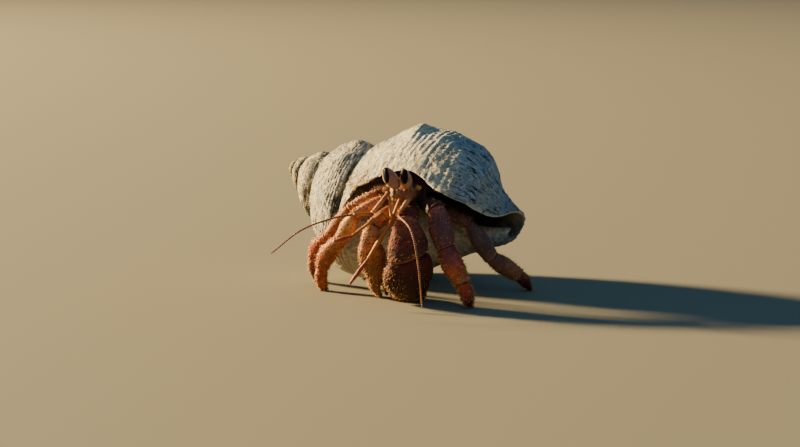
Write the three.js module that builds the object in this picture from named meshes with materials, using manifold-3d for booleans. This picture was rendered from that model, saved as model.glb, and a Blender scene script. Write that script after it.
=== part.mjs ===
// Land hermit crab in a worn whelk shell, life size, in one still walking pose.
// Millimetres, +Z up. The crab faces -Y, its own right side lies towards -X, and the
// shell's spire points back to -X, +Y. Everything that touches the floor does so at Z = 0.
import * as THREE from "three";
import { mergeVertices } from "three/addons/utils/BufferGeometryUtils.js";
import Module from "manifold-3d";

const wasm = await Module();
wasm.setup();

// ------------------------------------------------------------------ shell dimensions
// The shell is a right-handed spiral about an axis that runs from the apex to the canal.
const SHELL_APEX = new THREE.Vector3(-32.3, 34.4, 26.65);
const SHELL_DIP_DEG = 20.3;                     // the axis slopes down to the canal
const SHELL_SWING_DEG = -29.7;                  // and comes forward, towards -Y
const RADIUS_GROWTH = 1.86;                     // each whorl's width over the one before
const HEIGHT_GROWTH = 2.0;                      // each whorl's distance from the apex
const CANAL_RADIUS_GROWTH = 3.4;                // the same two ratios at the canal's tip
const CANAL_HEIGHT_GROWTH = 1.03;
const WHORL_TURNS = 4.2;
const LIP_ANGLE_DEG = 72;                       // lip's place, from straight up to -Y
const SUTURE_Z = 24.4;                          // last whorl's upper edge, at the lip
const SUTURE_R = 14.2;
const WHORL_Z = [28.0, 34.0, 41.5];             // its bulge, from that edge downwards
const WHORL_R = [18.3, 23.0, 26.6];
const BASE_Z = [56.5, 61.5, 63.2, 63.8];        // its base, narrowing to the canal
const BASE_R = [23.0, 13.0, 8.0, 5.5];
const LIP_LEAD_DEG = [22, -12, -24, -14, -18, -95]; // lip edge before or past LIP_ANGLE
const LIP_SHEAR_TURNS = 0.5;
const CANAL_BEND = 9.5;                         // the canal curls up out of the axis
const CANAL_BEND_FROM = 30.0;
const CANAL_BEND_TO = 62.0;
const KNOBS_PER_TURN = 9;                       // low knobs on each whorl's shoulder
const KNOB_HEIGHT = 0.02;                       // as a share of the whorl's radius
const KNOB_BAND = 0.55;                         // place on the whorl, 0 edge to 1 edge
const KNOB_SPREAD = 0.22;                       // and how far each spreads across it
const VARIX_TURN = -0.2;                        // an old lip left a swelling on each whorl
const VARIX_SPREAD = 0.12;
const VARIX_HEIGHT = 0.035;
const VARIX_EXTRA = 0.07;                       // more on the whorl before the last
const VARIX_EXTRA_AT = -0.7;
const VARIX_EXTRA_SPREAD = 0.5;
// Two worn knobs stand on the last varix: place, turn, height, spread across and along.
const TOP_KNOBS = [[0.60, -0.165, 0.105, 0.10, 0.035], [0.45, -0.185, 0.045, 0.07, 0.035]];
const WALL = 1.3;
const MOUTH_DEPTH_TURNS = 0.8;
const MOUTH_CORNER = 0.12;                      // inner corner, past the seam
const WALL_SWELL = 0.35;                        // the wall thickens towards that corner
const STEPS_PER_TURN = 26;
const WHORL_STEPS = 8;
const BASE_STEPS = 7;

// ------------------------------------------------------------------- limb dimensions
const JOINT_GAP = 0.15;                         // each side of a joint
const LIMB_SIDES = 8;
const LIMB_RINGS = 5;
const SOCKET_DEPTH = 4.0;                       // how far a root's socket reaches outwards
const SOCKET_SPARE = 0.12;                      // how much wider it is than the limb

// ------------------------------------------------------------------- small functions
const rad = THREE.MathUtils.degToRad;
const lerp = THREE.MathUtils.lerp;
const clamp01 = (x) => Math.min(Math.max(x, 0), 1);

function smooth(x) {
  const c = clamp01(x);
  return c * c * (3 - 2 * c);
}

// A bell curve round `centre`.
function bump(x, centre, spread) {
  return Math.exp(-(((x - centre) / spread) ** 2));
}

// A smooth curve through evenly spaced values, read at u = 0 to 1.
function along(values, u) {
  const last = values.length - 1;
  const x = clamp01(u) * last;
  const i = Math.min(Math.floor(x), last - 1);
  const f = x - i;
  const b = values[i];
  const c = values[i + 1];
  const a = i > 0 ? values[i - 1] : 2 * b - c;
  const d = i + 2 <= last ? values[i + 2] : 2 * c - b;
  const square = 2 * a - 5 * b + 4 * c - d;
  const cube = 3 * b - a - 3 * c + d;
  return b + 0.5 * f * ((c - a) + f * (square + f * cube));
}

// A unit direction from a heading (about +Z, from +X) and a pitch above the floor.
function direction(headingDeg, pitchDeg) {
  const h = rad(headingDeg);
  const p = rad(pitchDeg);
  return new THREE.Vector3(Math.cos(h) * Math.cos(p), Math.sin(h) * Math.cos(p), Math.sin(p));
}

// A closed surface built from rows of points.
class Surface {
  constructor() {
    this.points = [];
    this.faces = [];
  }

  add(point) {
    this.points.push(point);
    return this.points.length - 1;
  }

  row(points) {
    return points.map((point) => this.add(point));
  }

  // Faces between two rows of equal length.
  strip(rowA, rowB) {
    for (let i = 0; i + 1 < rowA.length; i += 1) {
      this.faces.push([rowA[i], rowA[i + 1], rowB[i + 1]]);
      this.faces.push([rowA[i], rowB[i + 1], rowB[i]]);
    }
  }

  // Faces from one point to every edge of a row.
  fan(centre, row) {
    const hub = this.add(centre);
    for (let i = 0; i + 1 < row.length; i += 1) {
      this.faces.push([hub, row[i], row[i + 1]]);
    }
  }

  volume() {
    let sum = 0;
    for (const [a, b, c] of this.faces) {
      const cross = new THREE.Vector3().crossVectors(this.points[b], this.points[c]);
      sum += this.points[a].dot(cross) / 6;
    }
    return sum;
  }

  geometry() {
    const outward = this.volume() > 0;
    const geometry = new THREE.BufferGeometry();
    const position = new Float32Array(this.points.length * 3);
    this.points.forEach((point, i) => point.toArray(position, i * 3));
    geometry.setAttribute("position", new THREE.BufferAttribute(position, 3));
    geometry.setIndex(this.faces.flatMap(([a, b, c]) => (outward ? [a, b, c] : [a, c, b])));
    return geometry;
  }
}

function toSolid(geometry) {
  const bare = geometry.clone();
  bare.deleteAttribute("normal");
  bare.deleteAttribute("uv");
  const merged = mergeVertices(bare, 1e-4);
  return new wasm.Manifold(new wasm.Mesh({
    numProp: 3,
    vertProperties: new Float32Array(merged.attributes.position.array),
    triVerts: new Uint32Array(merged.index.array),
  }));
}

function toGeometry(solid) {
  const mesh = solid.getMesh();
  const geometry = new THREE.BufferGeometry();
  geometry.setAttribute("position", new THREE.BufferAttribute(mesh.vertProperties, 3));
  geometry.setIndex(new THREE.BufferAttribute(mesh.triVerts, 1));
  return geometry;
}

// What stands on the floor is cut flat there.
function standOnFloor(geometry) {
  const block = new THREE.BoxGeometry(200, 200, 20);
  block.translate(0, 0, -10);
  return toGeometry(toSolid(geometry).subtract(toSolid(block)));
}

function piece(name, geometry, material) {
  geometry.computeVertexNormals();
  const mesh = new THREE.Mesh(geometry, material);
  mesh.name = name;
  return mesh;
}

function finish(colour, roughness) {
  return new THREE.MeshStandardMaterial({ color: colour, roughness, metalness: 0 });
}

const SHELL_CHALK = finish("#b9b5a6", 0.85);
const LEG_ORANGE = finish("#a8522c", 0.55);
const LEG_TAN = finish("#a97d56", 0.55);
const CLAW_PURPLE = finish("#5e3434", 0.5);
const BODY_BROWN = finish("#6b4a38", 0.6);
const BELLY_PINK = finish("#b48a78", 0.5);
const STALK_TAN = finish("#b08468", 0.5);
const EYE_DARK = finish("#17100d", 0.12);
const FEELER_GOLD = finish("#b8702c", 0.45);

// ------------------------------------------------------------------------- the shell
const axis = direction(SHELL_SWING_DEG, -SHELL_DIP_DEG);
const worldUp = new THREE.Vector3(0, 0, 1);
const shellUp = worldUp.clone().addScaledVector(axis, -worldUp.dot(axis)).normalize();
const shellFront = new THREE.Vector3().crossVectors(axis, shellUp);

const profileZ = [SUTURE_Z, ...WHORL_Z, SUTURE_Z * HEIGHT_GROWTH, ...BASE_Z];
const profileR = [SUTURE_R, ...WHORL_R, SUTURE_R * RADIUS_GROWTH, ...BASE_R];

// A point on the shell's surface. s runs down the last whorl from its upper edge (0) to
// the seam that the next whorl would cover (1) and on over the base to the canal (2).
// t counts turns of growth, 0 at the lip and -4 near the apex. inset moves it inwards.
function shellSurface(s, t, inset = 0) {
  const ahead = along(LIP_LEAD_DEG, s / 2) * smooth((t + LIP_SHEAR_TURNS) / LIP_SHEAR_TURNS);
  const seamWeight = s < 1 ? s : 2 - s;
  const seamShear = LIP_LEAD_DEG[0] * smooth(1 - Math.abs(t + 1) / LIP_SHEAR_TURNS) * seamWeight;
  const turn = t + (ahead + seamShear) / 360;
  return spiralPoint(s, turn, inset);
}

function spiralPoint(s, turn, inset) {
  const u = s < 1 ? s * 0.5 : 0.5 + (s - 1) * 0.5;
  const canal = smooth(s - 1);
  const zScale = lerp(HEIGHT_GROWTH ** turn, CANAL_HEIGHT_GROWTH ** turn, canal);
  const rScale = lerp(RADIUS_GROWTH ** turn, CANAL_RADIUS_GROWTH ** turn, canal);
  const z = along(profileZ, u) * zScale;
  const r = along(profileR, u) * rScale * (1 + swelling(s, turn)) - inset;
  const angle = rad(LIP_ANGLE_DEG) + turn * 2 * Math.PI;
  const past = Math.max(0, (z - CANAL_BEND_FROM) / (CANAL_BEND_TO - CANAL_BEND_FROM));
  return SHELL_APEX.clone()
    .addScaledVector(axis, z)
    .addScaledVector(shellUp, r * Math.cos(angle) + CANAL_BEND * past * past)
    .addScaledVector(shellFront, r * Math.sin(angle));
}

// How much the whorl stands out there, as a share of its radius.
function swelling(s, turn) {
  const beat = (turn + LIP_ANGLE_DEG / 360) * KNOBS_PER_TURN * 2 * Math.PI;
  const knobs = KNOB_HEIGHT * bump(s, KNOB_BAND, KNOB_SPREAD) * Math.cos(beat);
  const fromVarix = turn - VARIX_TURN - Math.round(turn - VARIX_TURN);
  const old = VARIX_EXTRA * bump(turn + s, VARIX_EXTRA_AT, VARIX_EXTRA_SPREAD);
  const varix = (VARIX_HEIGHT + old) * bump(fromVarix, 0, VARIX_SPREAD) * (1 - smooth(s - 1));
  const top = TOP_KNOBS.reduce((sum, [place, knobTurn, height, across, length]) => (
    sum + height * bump(s, place, across) * bump(turn, knobTurn, length)
  ), 0);
  return knobs + varix + top;
}

function range(from, to, steps) {
  return Array.from({ length: steps + 1 }, (_, i) => from + ((to - from) * i) / steps);
}

// The outside, the hollow's inner wall, its outer wall, and the rim that joins them.
function shellGeometry() {
  const surface = new Surface();
  const whorlS = range(0, 1, WHORL_STEPS);
  const baseS = [1, 1 + MOUTH_CORNER, ...range(1 + MOUTH_CORNER, 2, BASE_STEPS).slice(1)];
  const perTurn = STEPS_PER_TURN;
  const apexSteps = Math.round((WHORL_TURNS - 1) * perTurn);
  const whorlT = range(-apexSteps / perTurn - 1, 0, apexSteps + perTurn);

  // Spiral wall of every whorl; its lower edge is the upper edge of the turn that follows.
  const rows = [];
  whorlT.forEach((t) => {
    rows.push(surface.row(whorlS.slice(0, -1).map((s) => shellSurface(s, t))));
  });
  const lastTurn = whorlT.slice(-perTurn - 1);
  const seamRow = lastTurn.map((t, i) => (
    i === 0 ? rows.at(-1)[0] : surface.add(shellSurface(1, t))
  ));
  rows.forEach((row, i) => {
    const next = i + perTurn;
    row.push(next < rows.length ? rows[next][0] : seamRow[next - rows.length + 1]);
  });
  for (let i = 0; i + 1 < rows.length; i += 1) surface.strip(rows[i], rows[i + 1]);

  // Apex: closes the first turn's upper edge and the line where the spiral starts.
  const firstEdge = rows.slice(0, perTurn + 1).map((row) => row[0]);
  const startLine = rows[0].slice(1).reverse();
  surface.fan(middle(surface, firstEdge).lerp(SHELL_APEX, 0.5), [...startLine, ...firstEdge]);

  // Base of the last whorl, then the hollow's inner wall, one turn further in.
  const mouthSteps = Math.round(MOUTH_DEPTH_TURNS * perTurn);
  const baseRow = (t) => surface.row(baseS.slice(1).map((s) => shellSurface(s, t)));
  const base = lastTurn.map((t, i) => [seamRow[i], ...baseRow(t)]);
  for (let i = 0; i < perTurn; i += 1) surface.strip(base[i], base[i + 1]);
  const inner = range(-1, -1 - mouthSteps / perTurn, mouthSteps).map((t, i) => (
    i === 0 ? base[0].slice(1) : baseRow(t)
  ));
  for (let i = 0; i < mouthSteps; i += 1) surface.strip(inner[i + 1], inner[i]);

  // The hollow's outer wall follows the outside at the wall's thickness.
  const outerS = [...whorlS.slice(1), ...baseS.slice(1)];
  const outer = range(0, -mouthSteps / perTurn, mouthSteps).map((t, i) => {
    const corner = inner[i][0];
    const wall = outerS.map((s) => {
      const plain = shellSurface(s, t, WALL);
      return plain.lerp(surface.points[corner], 1 - smooth(s / WALL_SWELL));
    });
    return [corner, ...surface.row(wall)];
  });
  for (let i = 0; i < mouthSteps; i += 1) surface.strip(outer[i], outer[i + 1]);

  // Lip, back wall of the hollow, the canal's rim and the tip of the central pillar.
  const lipOutside = [...rows.at(-1), ...base.at(-1).slice(1)];
  surface.faces.push([lipOutside[0], lipOutside[1], outer[0][1]]);
  surface.faces.push([lipOutside[0], outer[0][1], outer[0][0]]);
  surface.strip(lipOutside.slice(1), outer[0].slice(1));
  const pillarEnd = inner.at(-1);
  const backOuter = outer.at(-1);
  const backEdge = [...pillarEnd.toReversed(), ...backOuter.slice(1), pillarEnd.at(-1)];
  surface.fan(middle(surface, [...pillarEnd, ...backOuter]), backEdge);
  const rimOutside = base.map((row) => row.at(-1)).reverse();
  const rimInside = outer.map((row) => row.at(-1));
  surface.strip(rimOutside.slice(0, mouthSteps + 1), rimInside);
  const pillarSide = inner.slice(1).map((row) => row.at(-1));
  const tipEdge = [rimInside.at(-1), rimOutside[mouthSteps]];
  const pillarRim = [...rimOutside.slice(mouthSteps), ...pillarSide, ...tipEdge];
  surface.fan(middle(surface, pillarRim), pillarRim);
  return surface.geometry();
}

function middle(surface, indices) {
  const sum = new THREE.Vector3();
  indices.forEach((i) => sum.add(surface.points[i]));
  return sum.divideScalar(indices.length);
}

// ------------------------------------------------------------------- limbs and body

// A closed tube between two slanted end planes. halfWidth and halfDepth are read along
// its length; bow bends the middle sideways by that much, towards `bulge`.
function tube(spec) {
  const { from, to, startNormal, endNormal, halfWidth, halfDepth, face, bow, sides, rings } = spec;
  const line = to.clone().sub(from).normalize();
  const depthAxis = face.clone().addScaledVector(line, -face.dot(line)).normalize();
  const widthAxis = new THREE.Vector3().crossVectors(depthAxis, line);
  const surface = new Surface();
  const rows = range(0, 1, rings).map((u) => {
    const row = range(0, 1, sides).slice(0, -1).map((turn) => {
      const angle = turn * 2 * Math.PI;
      const rim = widthAxis.clone().multiplyScalar(along(halfWidth, u) * Math.cos(angle))
        .addScaledVector(depthAxis, along(halfDepth, u) * Math.sin(angle))
        .addScaledVector(bow, 4 * u * (1 - u));
      const start = slide(rim.clone().add(from), from, startNormal, line, JOINT_GAP);
      const end = slide(rim.clone().add(to), to, endNormal, line, -JOINT_GAP);
      return start.lerp(end, u);
    });
    const indices = surface.row(row);
    return [...indices, indices[0]];
  });
  for (let i = 0; i < rings; i += 1) surface.strip(rows[i], rows[i + 1]);
  surface.fan(middle(surface, rows[0].slice(1)), [...rows[0]].reverse());
  surface.fan(middle(surface, rows[rings].slice(1)), rows[rings]);
  return surface.geometry();
}

// Moves a point along a line onto the plane through `origin`, then `gap` beyond it.
function slide(point, origin, normal, line, gap) {
  const away = point.clone().sub(origin).dot(normal) / line.dot(normal);
  return point.addScaledVector(line, gap - away);
}

// What grows out of the body sits in a socket: its first segment, made a little larger.
const sockets = [];

function addSocket(root, line, halfWidth, halfDepth, face, sides) {
  const widest = (sizes) => Math.max(...sizes) + SOCKET_SPARE;
  const wide = widest(halfWidth);
  const deep = widest(halfDepth);
  sockets.push(tube({
    from: root.clone().addScaledVector(line, -2 * JOINT_GAP),
    to: root.clone().addScaledVector(line, SOCKET_DEPTH),
    startNormal: line,
    endNormal: line,
    halfWidth: [wide, wide],
    halfDepth: [deep, deep],
    face,
    bow: new THREE.Vector3(),
    sides,
    rings: 1,
  }));
}

// A chain of segments from joint to joint, each cut on the plane that halves its bend.
// Every segment is [name, length, heading, pitch, half widths, half depths, bow, slant];
// slant tips the plane at its far end.
function limb(prefix, root, face, material, segments, extra = {}) {
  const joints = [root.clone()];
  const lines = segments.map(([, length, heading, pitch]) => {
    const line = direction(heading, pitch);
    joints.push(joints.at(-1).clone().addScaledVector(line, length));
    return line;
  });
  const sides = extra.sides ?? LIMB_SIDES;
  const bends = lines.slice(1).map((line, i) => {
    const slant = new THREE.Vector3(...(segments[i][7] ?? [0, 0, 0]));
    return line.clone().add(lines[i]).normalize().add(slant).normalize();
  });
  const planes = [lines[0], ...bends, lines.at(-1)];
  segments.forEach(([name, , , , halfWidth, halfDepth, bow = [0, 0, 0]], i) => {
    const line = lines[i];
    let geometry = tube({
      from: joints[i],
      to: joints[i + 1],
      startNormal: planes[i],
      endNormal: planes[i + 1],
      halfWidth,
      halfDepth,
      face,
      bow: new THREE.Vector3(...bow),
      sides,
      rings: extra.rings ?? LIMB_RINGS,
    });
    if (extra.shape) geometry = extra.shape(name, geometry);
    if (i === 0 && !extra.free) addSocket(root, line, halfWidth, halfDepth, face, sides);
    crab.add(piece(prefix + name, geometry, material));
  });
}

const crab = new THREE.Group();
crab.add(piece("shell", standOnFloor(shellGeometry()), SHELL_CHALK));

const TOWARDS_FRONT = new THREE.Vector3(0, -1, 0.15);
const SIDEWAYS = new THREE.Vector3(1, 0, 0);
const UPWARDS = new THREE.Vector3(0, 0, 1);
const at = (x, y, z) => new THREE.Vector3(x, y, z);

// A closed round-ended body through stations [centre, half width, half height].
function loft(stations, sides, steps, widthSide = SIDEWAYS) {
  const read = (u, pick) => along(stations.map(pick), u);
  const centre = (u) => at(...[0, 1, 2].map((k) => read(u, ([c]) => c.getComponent(k))));
  const surface = new Surface();
  const rows = range(0, 1, steps).map((u) => {
    const line = centre(Math.min(u + 0.01, 1)).sub(centre(Math.max(u - 0.01, 0))).normalize();
    const wide = widthSide.clone().addScaledVector(line, -widthSide.dot(line)).normalize();
    const tall = new THREE.Vector3().crossVectors(line, wide);
    const row = surface.row(range(0, 1, sides).slice(0, -1).map((turn) => {
      const angle = turn * 2 * Math.PI;
      return centre(u).addScaledVector(wide, read(u, ([, w]) => w) * Math.cos(angle))
        .addScaledVector(tall, read(u, ([, , h]) => h) * Math.sin(angle));
    }));
    return [...row, row[0]];
  });
  for (let i = 0; i < steps; i += 1) surface.strip(rows[i], rows[i + 1]);
  surface.fan(middle(surface, rows[0].slice(1)), [...rows[0]].reverse());
  surface.fan(middle(surface, rows[steps].slice(1)), rows[steps]);
  return surface.geometry();
}

// A thin feeler on a smooth route, narrowing from root to tip.
function feeler(name, route, rootRadius, tipRadius, steps) {
  const taper = (i) => lerp(rootRadius, tipRadius, i / (route.length - 1));
  const stations = route.map((point, i) => [point, taper(i), taper(i)]);
  crab.add(piece(name, loft(stations, 6, steps, at(0.3, 0.2, 1)), FEELER_GOLD));
}

// Cuts a piece clear of a neighbour that was made with a little to spare.
function carve(geometry, ...cutters) {
  let solid = toSolid(geometry);
  cutters.forEach((cutter) => {
    solid = solid.subtract(toSolid(cutter));
  });
  return toGeometry(solid);
}

function ellipsoid(centre, radii, facing, upright) {
  const geometry = new THREE.SphereGeometry(1, 10, 6);
  const z = facing.clone().normalize();
  const y = upright.clone().addScaledVector(z, -upright.dot(z)).normalize();
  const x = new THREE.Vector3().crossVectors(y, z);
  const place = new THREE.Matrix4().makeBasis(x, y, z).scale(new THREE.Vector3(...radii));
  return geometry.applyMatrix4(place.setPosition(centre));
}

// -------------------------------------------------------------------- walking legs
const trimFoot = (name, geometry) => (name === "dactylus" ? standOnFloor(geometry) : geometry);
const foot = { shape: trimFoot };

limb("leg_front_right_", at(-6.7, -2.2, 22.0), TOWARDS_FRONT, LEG_ORANGE, [
  ["ischium", 3.2, -141, 12, [0.9, 1.1, 1.05], [0.8, 0.95, 0.9]],
  ["merus", 6.5, -170, -29, [1.1, 1.35, 1.2], [0.9, 1.2, 1.05]],
  ["carpus", 7.5, 138, -54, [1.15, 1.85, 1.5], [1.0, 1.4, 1.2]],
  ["propodus", 11.0, 125, -44, [1.45, 1.95, 1.3], [1.2, 1.55, 1.1], [-0.7, 0, 0.4]],
  ["dactylus", 7.0, 75, -67, [1.2, 1.2, 0.4], [1.05, 1.05, 0.4], [-0.7, 0, 0]],
], foot);

limb("leg_rear_right_", at(-6.9, 1.2, 22.9), TOWARDS_FRONT, LEG_ORANGE, [
  ["ischium", 3.6, -146, 17, [0.9, 1.05, 1.0], [0.8, 0.9, 0.85]],
  ["merus", 7.5, 171, -30, [1.05, 1.3, 1.15], [0.85, 1.1, 1.0]],
  ["carpus", 10.0, 135, -45, [1.1, 1.5, 1.25], [0.9, 1.25, 1.1]],
  ["propodus", 10.2, 117, -39, [1.2, 1.75, 1.25], [1.1, 1.45, 1.1], [-0.6, 0, 0.4]],
  ["dactylus", 9.4, 85, -47, [1.15, 1.1, 0.4], [1.0, 1.0, 0.4], [-0.6, 0, 0.4]],
], foot);

limb("leg_front_left_", at(-0.6, -3.0, 21.9), TOWARDS_FRONT, LEG_ORANGE, [
  ["ischium", 3.4, -63, 8, [1.1, 1.4, 1.35], [0.9, 1.2, 1.15]],
  ["merus", 7.0, -69, -5, [1.4, 1.8, 1.9], [1.2, 1.5, 1.5]],
  ["carpus", 8.5, -50, -68, [1.8, 2.7, 2.1], [1.4, 2.0, 1.7]],
  ["propodus", 8.8, -15, -64, [2.05, 2.4, 1.65], [1.6, 1.9, 1.4], [-0.3, 0, 0]],
  ["dactylus", 6.3, 26, -73, [1.5, 1.45, 0.45], [1.3, 1.3, 0.45], [0.3, 0, 0]],
], foot);

limb("leg_rear_left_", at(-0.3, 1.3, 22.4), TOWARDS_FRONT, LEG_ORANGE, [
  ["ischium", 2.9, -22, -14, [1.0, 1.2, 1.15], [0.9, 1.05, 1.0]],
  ["merus", 10.3, -24, -25, [1.1, 1.5, 1.35], [1.0, 1.2, 1.1]],
  ["carpus", 10.9, 36, -51, [1.3, 2.1, 1.7], [1.1, 1.6, 1.35]],
  ["propodus", 8.2, 22, -34, [1.6, 2.0, 1.5], [1.3, 1.6, 1.3]],
  ["dactylus", 6.5, 51, -41, [1.35, 1.25, 0.45], [1.2, 1.15, 0.45], [0.2, 0, 0.4]],
], foot);

// -------------------------------------------------------------------------- claws
// The fixed finger grows out of the palm and is one solid with it.
function withFinger(start, length, heading, pitch, halfWidth, halfDepth, bow) {
  const line = direction(heading, pitch);
  const finger = tube({
    from: start,
    to: start.clone().addScaledVector(line, length),
    startNormal: line,
    endNormal: line,
    halfWidth,
    halfDepth,
    face: UPWARDS,
    bow,
    sides: 10,
    rings: 4,
  });
  return (name, geometry) => (
    name === "palm" ? standOnFloor(toGeometry(toSolid(geometry).add(toSolid(finger)))) : geometry
  );
}

limb("claw_left_", at(-2.5, -5.2, 21.3), TOWARDS_FRONT, CLAW_PURPLE, [
  ["ischium", 2.6, -86, -12, [1.4, 1.8, 1.9], [1.2, 1.5, 1.6]],
  ["merus", 5.4, -98, -12, [2.0, 2.3, 2.2], [1.7, 2.0, 1.8]],
  ["carpus", 8.3, -80, -80, [2.2, 3.6, 4.4, 4.4], [1.8, 2.4, 2.8, 2.8], [0, 0, 0], [0.3, 0, 0]],
  ["palm", 11.2, 88, -63, [4.5, 5.4, 5.5, 4.6, 2.6], [2.8, 3.3, 3.3, 2.6, 1.5]],
], {
  sides: 16,
  rings: 6,
  shape: withFinger(at(-1.2, -9.6, 2.6), 7.6, 92, -14, [1.6, 1.7, 0.5], [1.9, 1.6, 0.5], at(0.9, 0, 0)),
});
limb("claw_left_", at(-4.6, -7.5, 2.1), UPWARDS, CLAW_PURPLE, [
  ["finger", 6.0, 86, -13, [1.4, 1.5, 0.5], [1.7, 1.5, 0.5], [-0.8, 0, 0]],
], { sides: 10, rings: 4, free: true, shape: (name, geometry) => standOnFloor(geometry) });

limb("claw_right_", at(-6.3, -4.6, 21.4), TOWARDS_FRONT, LEG_TAN, [
  ["ischium", 2.2, -119, -20, [0.9, 1.1, 1.1], [0.8, 0.95, 0.95]],
  ["merus", 6.4, -122, -24, [1.2, 1.5, 1.6], [1.0, 1.2, 1.3]],
  ["carpus", 3.6, 137, -67, [1.6, 1.9, 1.8], [1.3, 1.5, 1.4]],
  ["palm", 10.6, 74, -60, [1.8, 2.9, 2.9, 2.1], [1.4, 1.9, 1.8, 1.3]],
], {
  sides: 12,
  rings: 5,
  shape: withFinger(at(-10.8, -6.3, 6.4), 8.2, 70, -50, [1.2, 1.2, 0.4], [1.3, 1.1, 0.4], at(-0.5, 0, 0)),
});
limb("claw_right_", at(-8.15, -4.7, 4.7), UPWARDS, LEG_TAN, [
  ["finger", 6.0, 82, -45, [1.1, 1.15, 0.4], [1.2, 1.05, 0.4], [0.5, 0, 0]],
], { sides: 10, rings: 4, free: true, shape: (name, geometry) => standOnFloor(geometry) });

// --------------------------------------------------------------------------- head
// Each dark eye is a long oval let into the outer face of a flattened stalk.
function eye(side, root, stalk, halfWidth, eyeCentre, facing) {
  const [length, heading, pitch] = stalk;
  const line = direction(heading, pitch);
  const radii = [0.85, 1.75, 0.6];
  const socket = ellipsoid(eyeCentre, radii.map((r) => r + 0.1), facing, line);
  limb("eyestalk_", root, TOWARDS_FRONT, STALK_TAN, [
    [side, length, heading, pitch, halfWidth, [0.7, 0.95, 0.5]],
  ], { rings: 6, shape: (name, geometry) => carve(geometry, socket) });
  crab.add(piece("eye_" + side, ellipsoid(eyeCentre, radii, facing, line), EYE_DARK));
}
const rightEye = at(-7.7, -10.1, 29.1);
const leftEye = at(-3.65, -11.0, 29.1);
eye("right", at(-5.1, -8.6, 26.0), [5.8, -158, 57], [0.85, 1.5, 1.4, 0.7], rightEye, at(-0.95, -0.5, -0.1));
eye("left", at(-2.8, -8.6, 25.9), [5.1, -120, 68], [0.85, 1.5, 1.4, 0.7], leftEye, at(-0.35, -0.93, 0));

limb("antenna_right_", at(-6.8, -9.5, 25.6), TOWARDS_FRONT, FEELER_GOLD, [
  ["peduncle", 6.8, -149, -45, [0.45, 0.5, 0.4], [0.45, 0.5, 0.4]],
  ["article", 4.2, -166, 0, [0.4, 0.4, 0.3], [0.4, 0.4, 0.3]],
], { sides: 6, rings: 3 });
limb("antenna_left_", at(-1.5, -8.9, 25.4), TOWARDS_FRONT, FEELER_GOLD, [
  ["peduncle", 7.5, -121, -33, [0.5, 0.6, 0.5, 0.4], [0.5, 0.55, 0.5, 0.4]],
], { sides: 6, rings: 3 });
limb("antennal_scale_", at(-7.0, -8.6, 26.0), TOWARDS_FRONT, FEELER_GOLD, [
  ["right", 2.4, -120, 4, [0.55, 0.5, 0.3], [0.45, 0.4, 0.3]],
], { sides: 6, rings: 2, free: true });
limb("antennal_scale_", at(-0.9, -8.6, 26.3), TOWARDS_FRONT, FEELER_GOLD, [
  ["left", 2.6, -75, 4, [0.55, 0.5, 0.3], [0.45, 0.4, 0.3]],
], { sides: 6, rings: 2, free: true });
feeler("antenna_right_flagellum", [
  at(-15.3, -13.1, 20.75), at(-20.1, -14.5, 20.0), at(-26.6, -16.0, 17.6), at(-32.9, -18.0, 12.9),
], 0.3, 0.25, 11);
feeler("antenna_left_flagellum", [
  at(-5.05, -14.8, 20.85), at(-2.2, -19.3, 18.2), at(-0.7, -19.3, 11.1), at(0.3, -17.0, 0.8),
], 0.3, 0.25, 11);

limb("antennule_right_", at(-6.9, -10.0, 24.6), TOWARDS_FRONT, FEELER_GOLD, [
  ["stem", 5.4, -80, -66, [0.35, 0.4, 0.35], [0.35, 0.4, 0.35]],
  ["knee", 2.7, -154, 31, [0.35, 0.35, 0.35], [0.35, 0.35, 0.35]],
  ["rod", 8.3, -167, -35, [0.35, 0.35, 0.3], [0.35, 0.35, 0.3]],
  ["club", 4.4, -173, -17, [0.3, 0.45, 0.25], [0.3, 0.35, 0.25]],
], { sides: 6, rings: 3 });
limb("antennule_left_", at(-4.6, -9.9, 24.0), TOWARDS_FRONT, FEELER_GOLD, [
  ["stem", 5.6, -140, -62, [0.35, 0.35, 0.35], [0.35, 0.35, 0.35]],
  ["rod", 10.0, -157, -56, [0.4, 0.5, 0.35], [0.4, 0.5, 0.35]],
  ["club", 6.9, -173, -53, [0.35, 0.45, 0.25], [0.3, 0.35, 0.25]],
], { sides: 6, rings: 3 });
limb("mouthpart_", at(-6.2, -8.0, 22.9), TOWARDS_FRONT, LEG_TAN, [
  ["right", 4.5, -99, -64, [0.5, 0.6, 0.35], [0.4, 0.5, 0.3]],
], { sides: 6, rings: 3 });
limb("mouthpart_", at(-4.8, -8.0, 22.9), TOWARDS_FRONT, LEG_TAN, [
  ["left", 3.6, -108, -60, [0.5, 0.6, 0.35], [0.4, 0.5, 0.3]],
], { sides: 6, rings: 3 });

// The small fourth legs stay inside the shell and hold it.
limb("leg_fourth_", at(2.9, 3.4, 24.4), UPWARDS, LEG_TAN, [
  ["left", 4.4, 14, -6, [0.7, 0.9, 0.6], [0.6, 0.7, 0.5], [0, -0.4, 0]],
], { sides: 6, rings: 3 });
limb("leg_fourth_", at(-6.9, 3.6, 24.9), UPWARDS, LEG_TAN, [
  ["right", 3.8, 168, -4, [0.7, 0.85, 0.6], [0.6, 0.7, 0.5], [0, -0.4, 0]],
], { sides: 6, rings: 3 });

// --------------------------------------------------------------- carapace and belly
const trunk = loft([
  [at(-4.3, -8.9, 24.6), 1.9, 1.4],
  [at(-4.1, -6.0, 24.4), 3.6, 2.5],
  [at(-3.5, -2.0, 24.6), 4.4, 3.1],
  [at(-2.2, 2.5, 25.7), 4.6, 3.1],
  [at(0.1, 6.6, 27.2), 4.0, 2.8],
  [at(1.5, 9.4, 28.2), 2.8, 2.2],
], 14, 9);
crab.add(piece("carapace", carve(trunk, ...sockets), BODY_BROWN));

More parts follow.
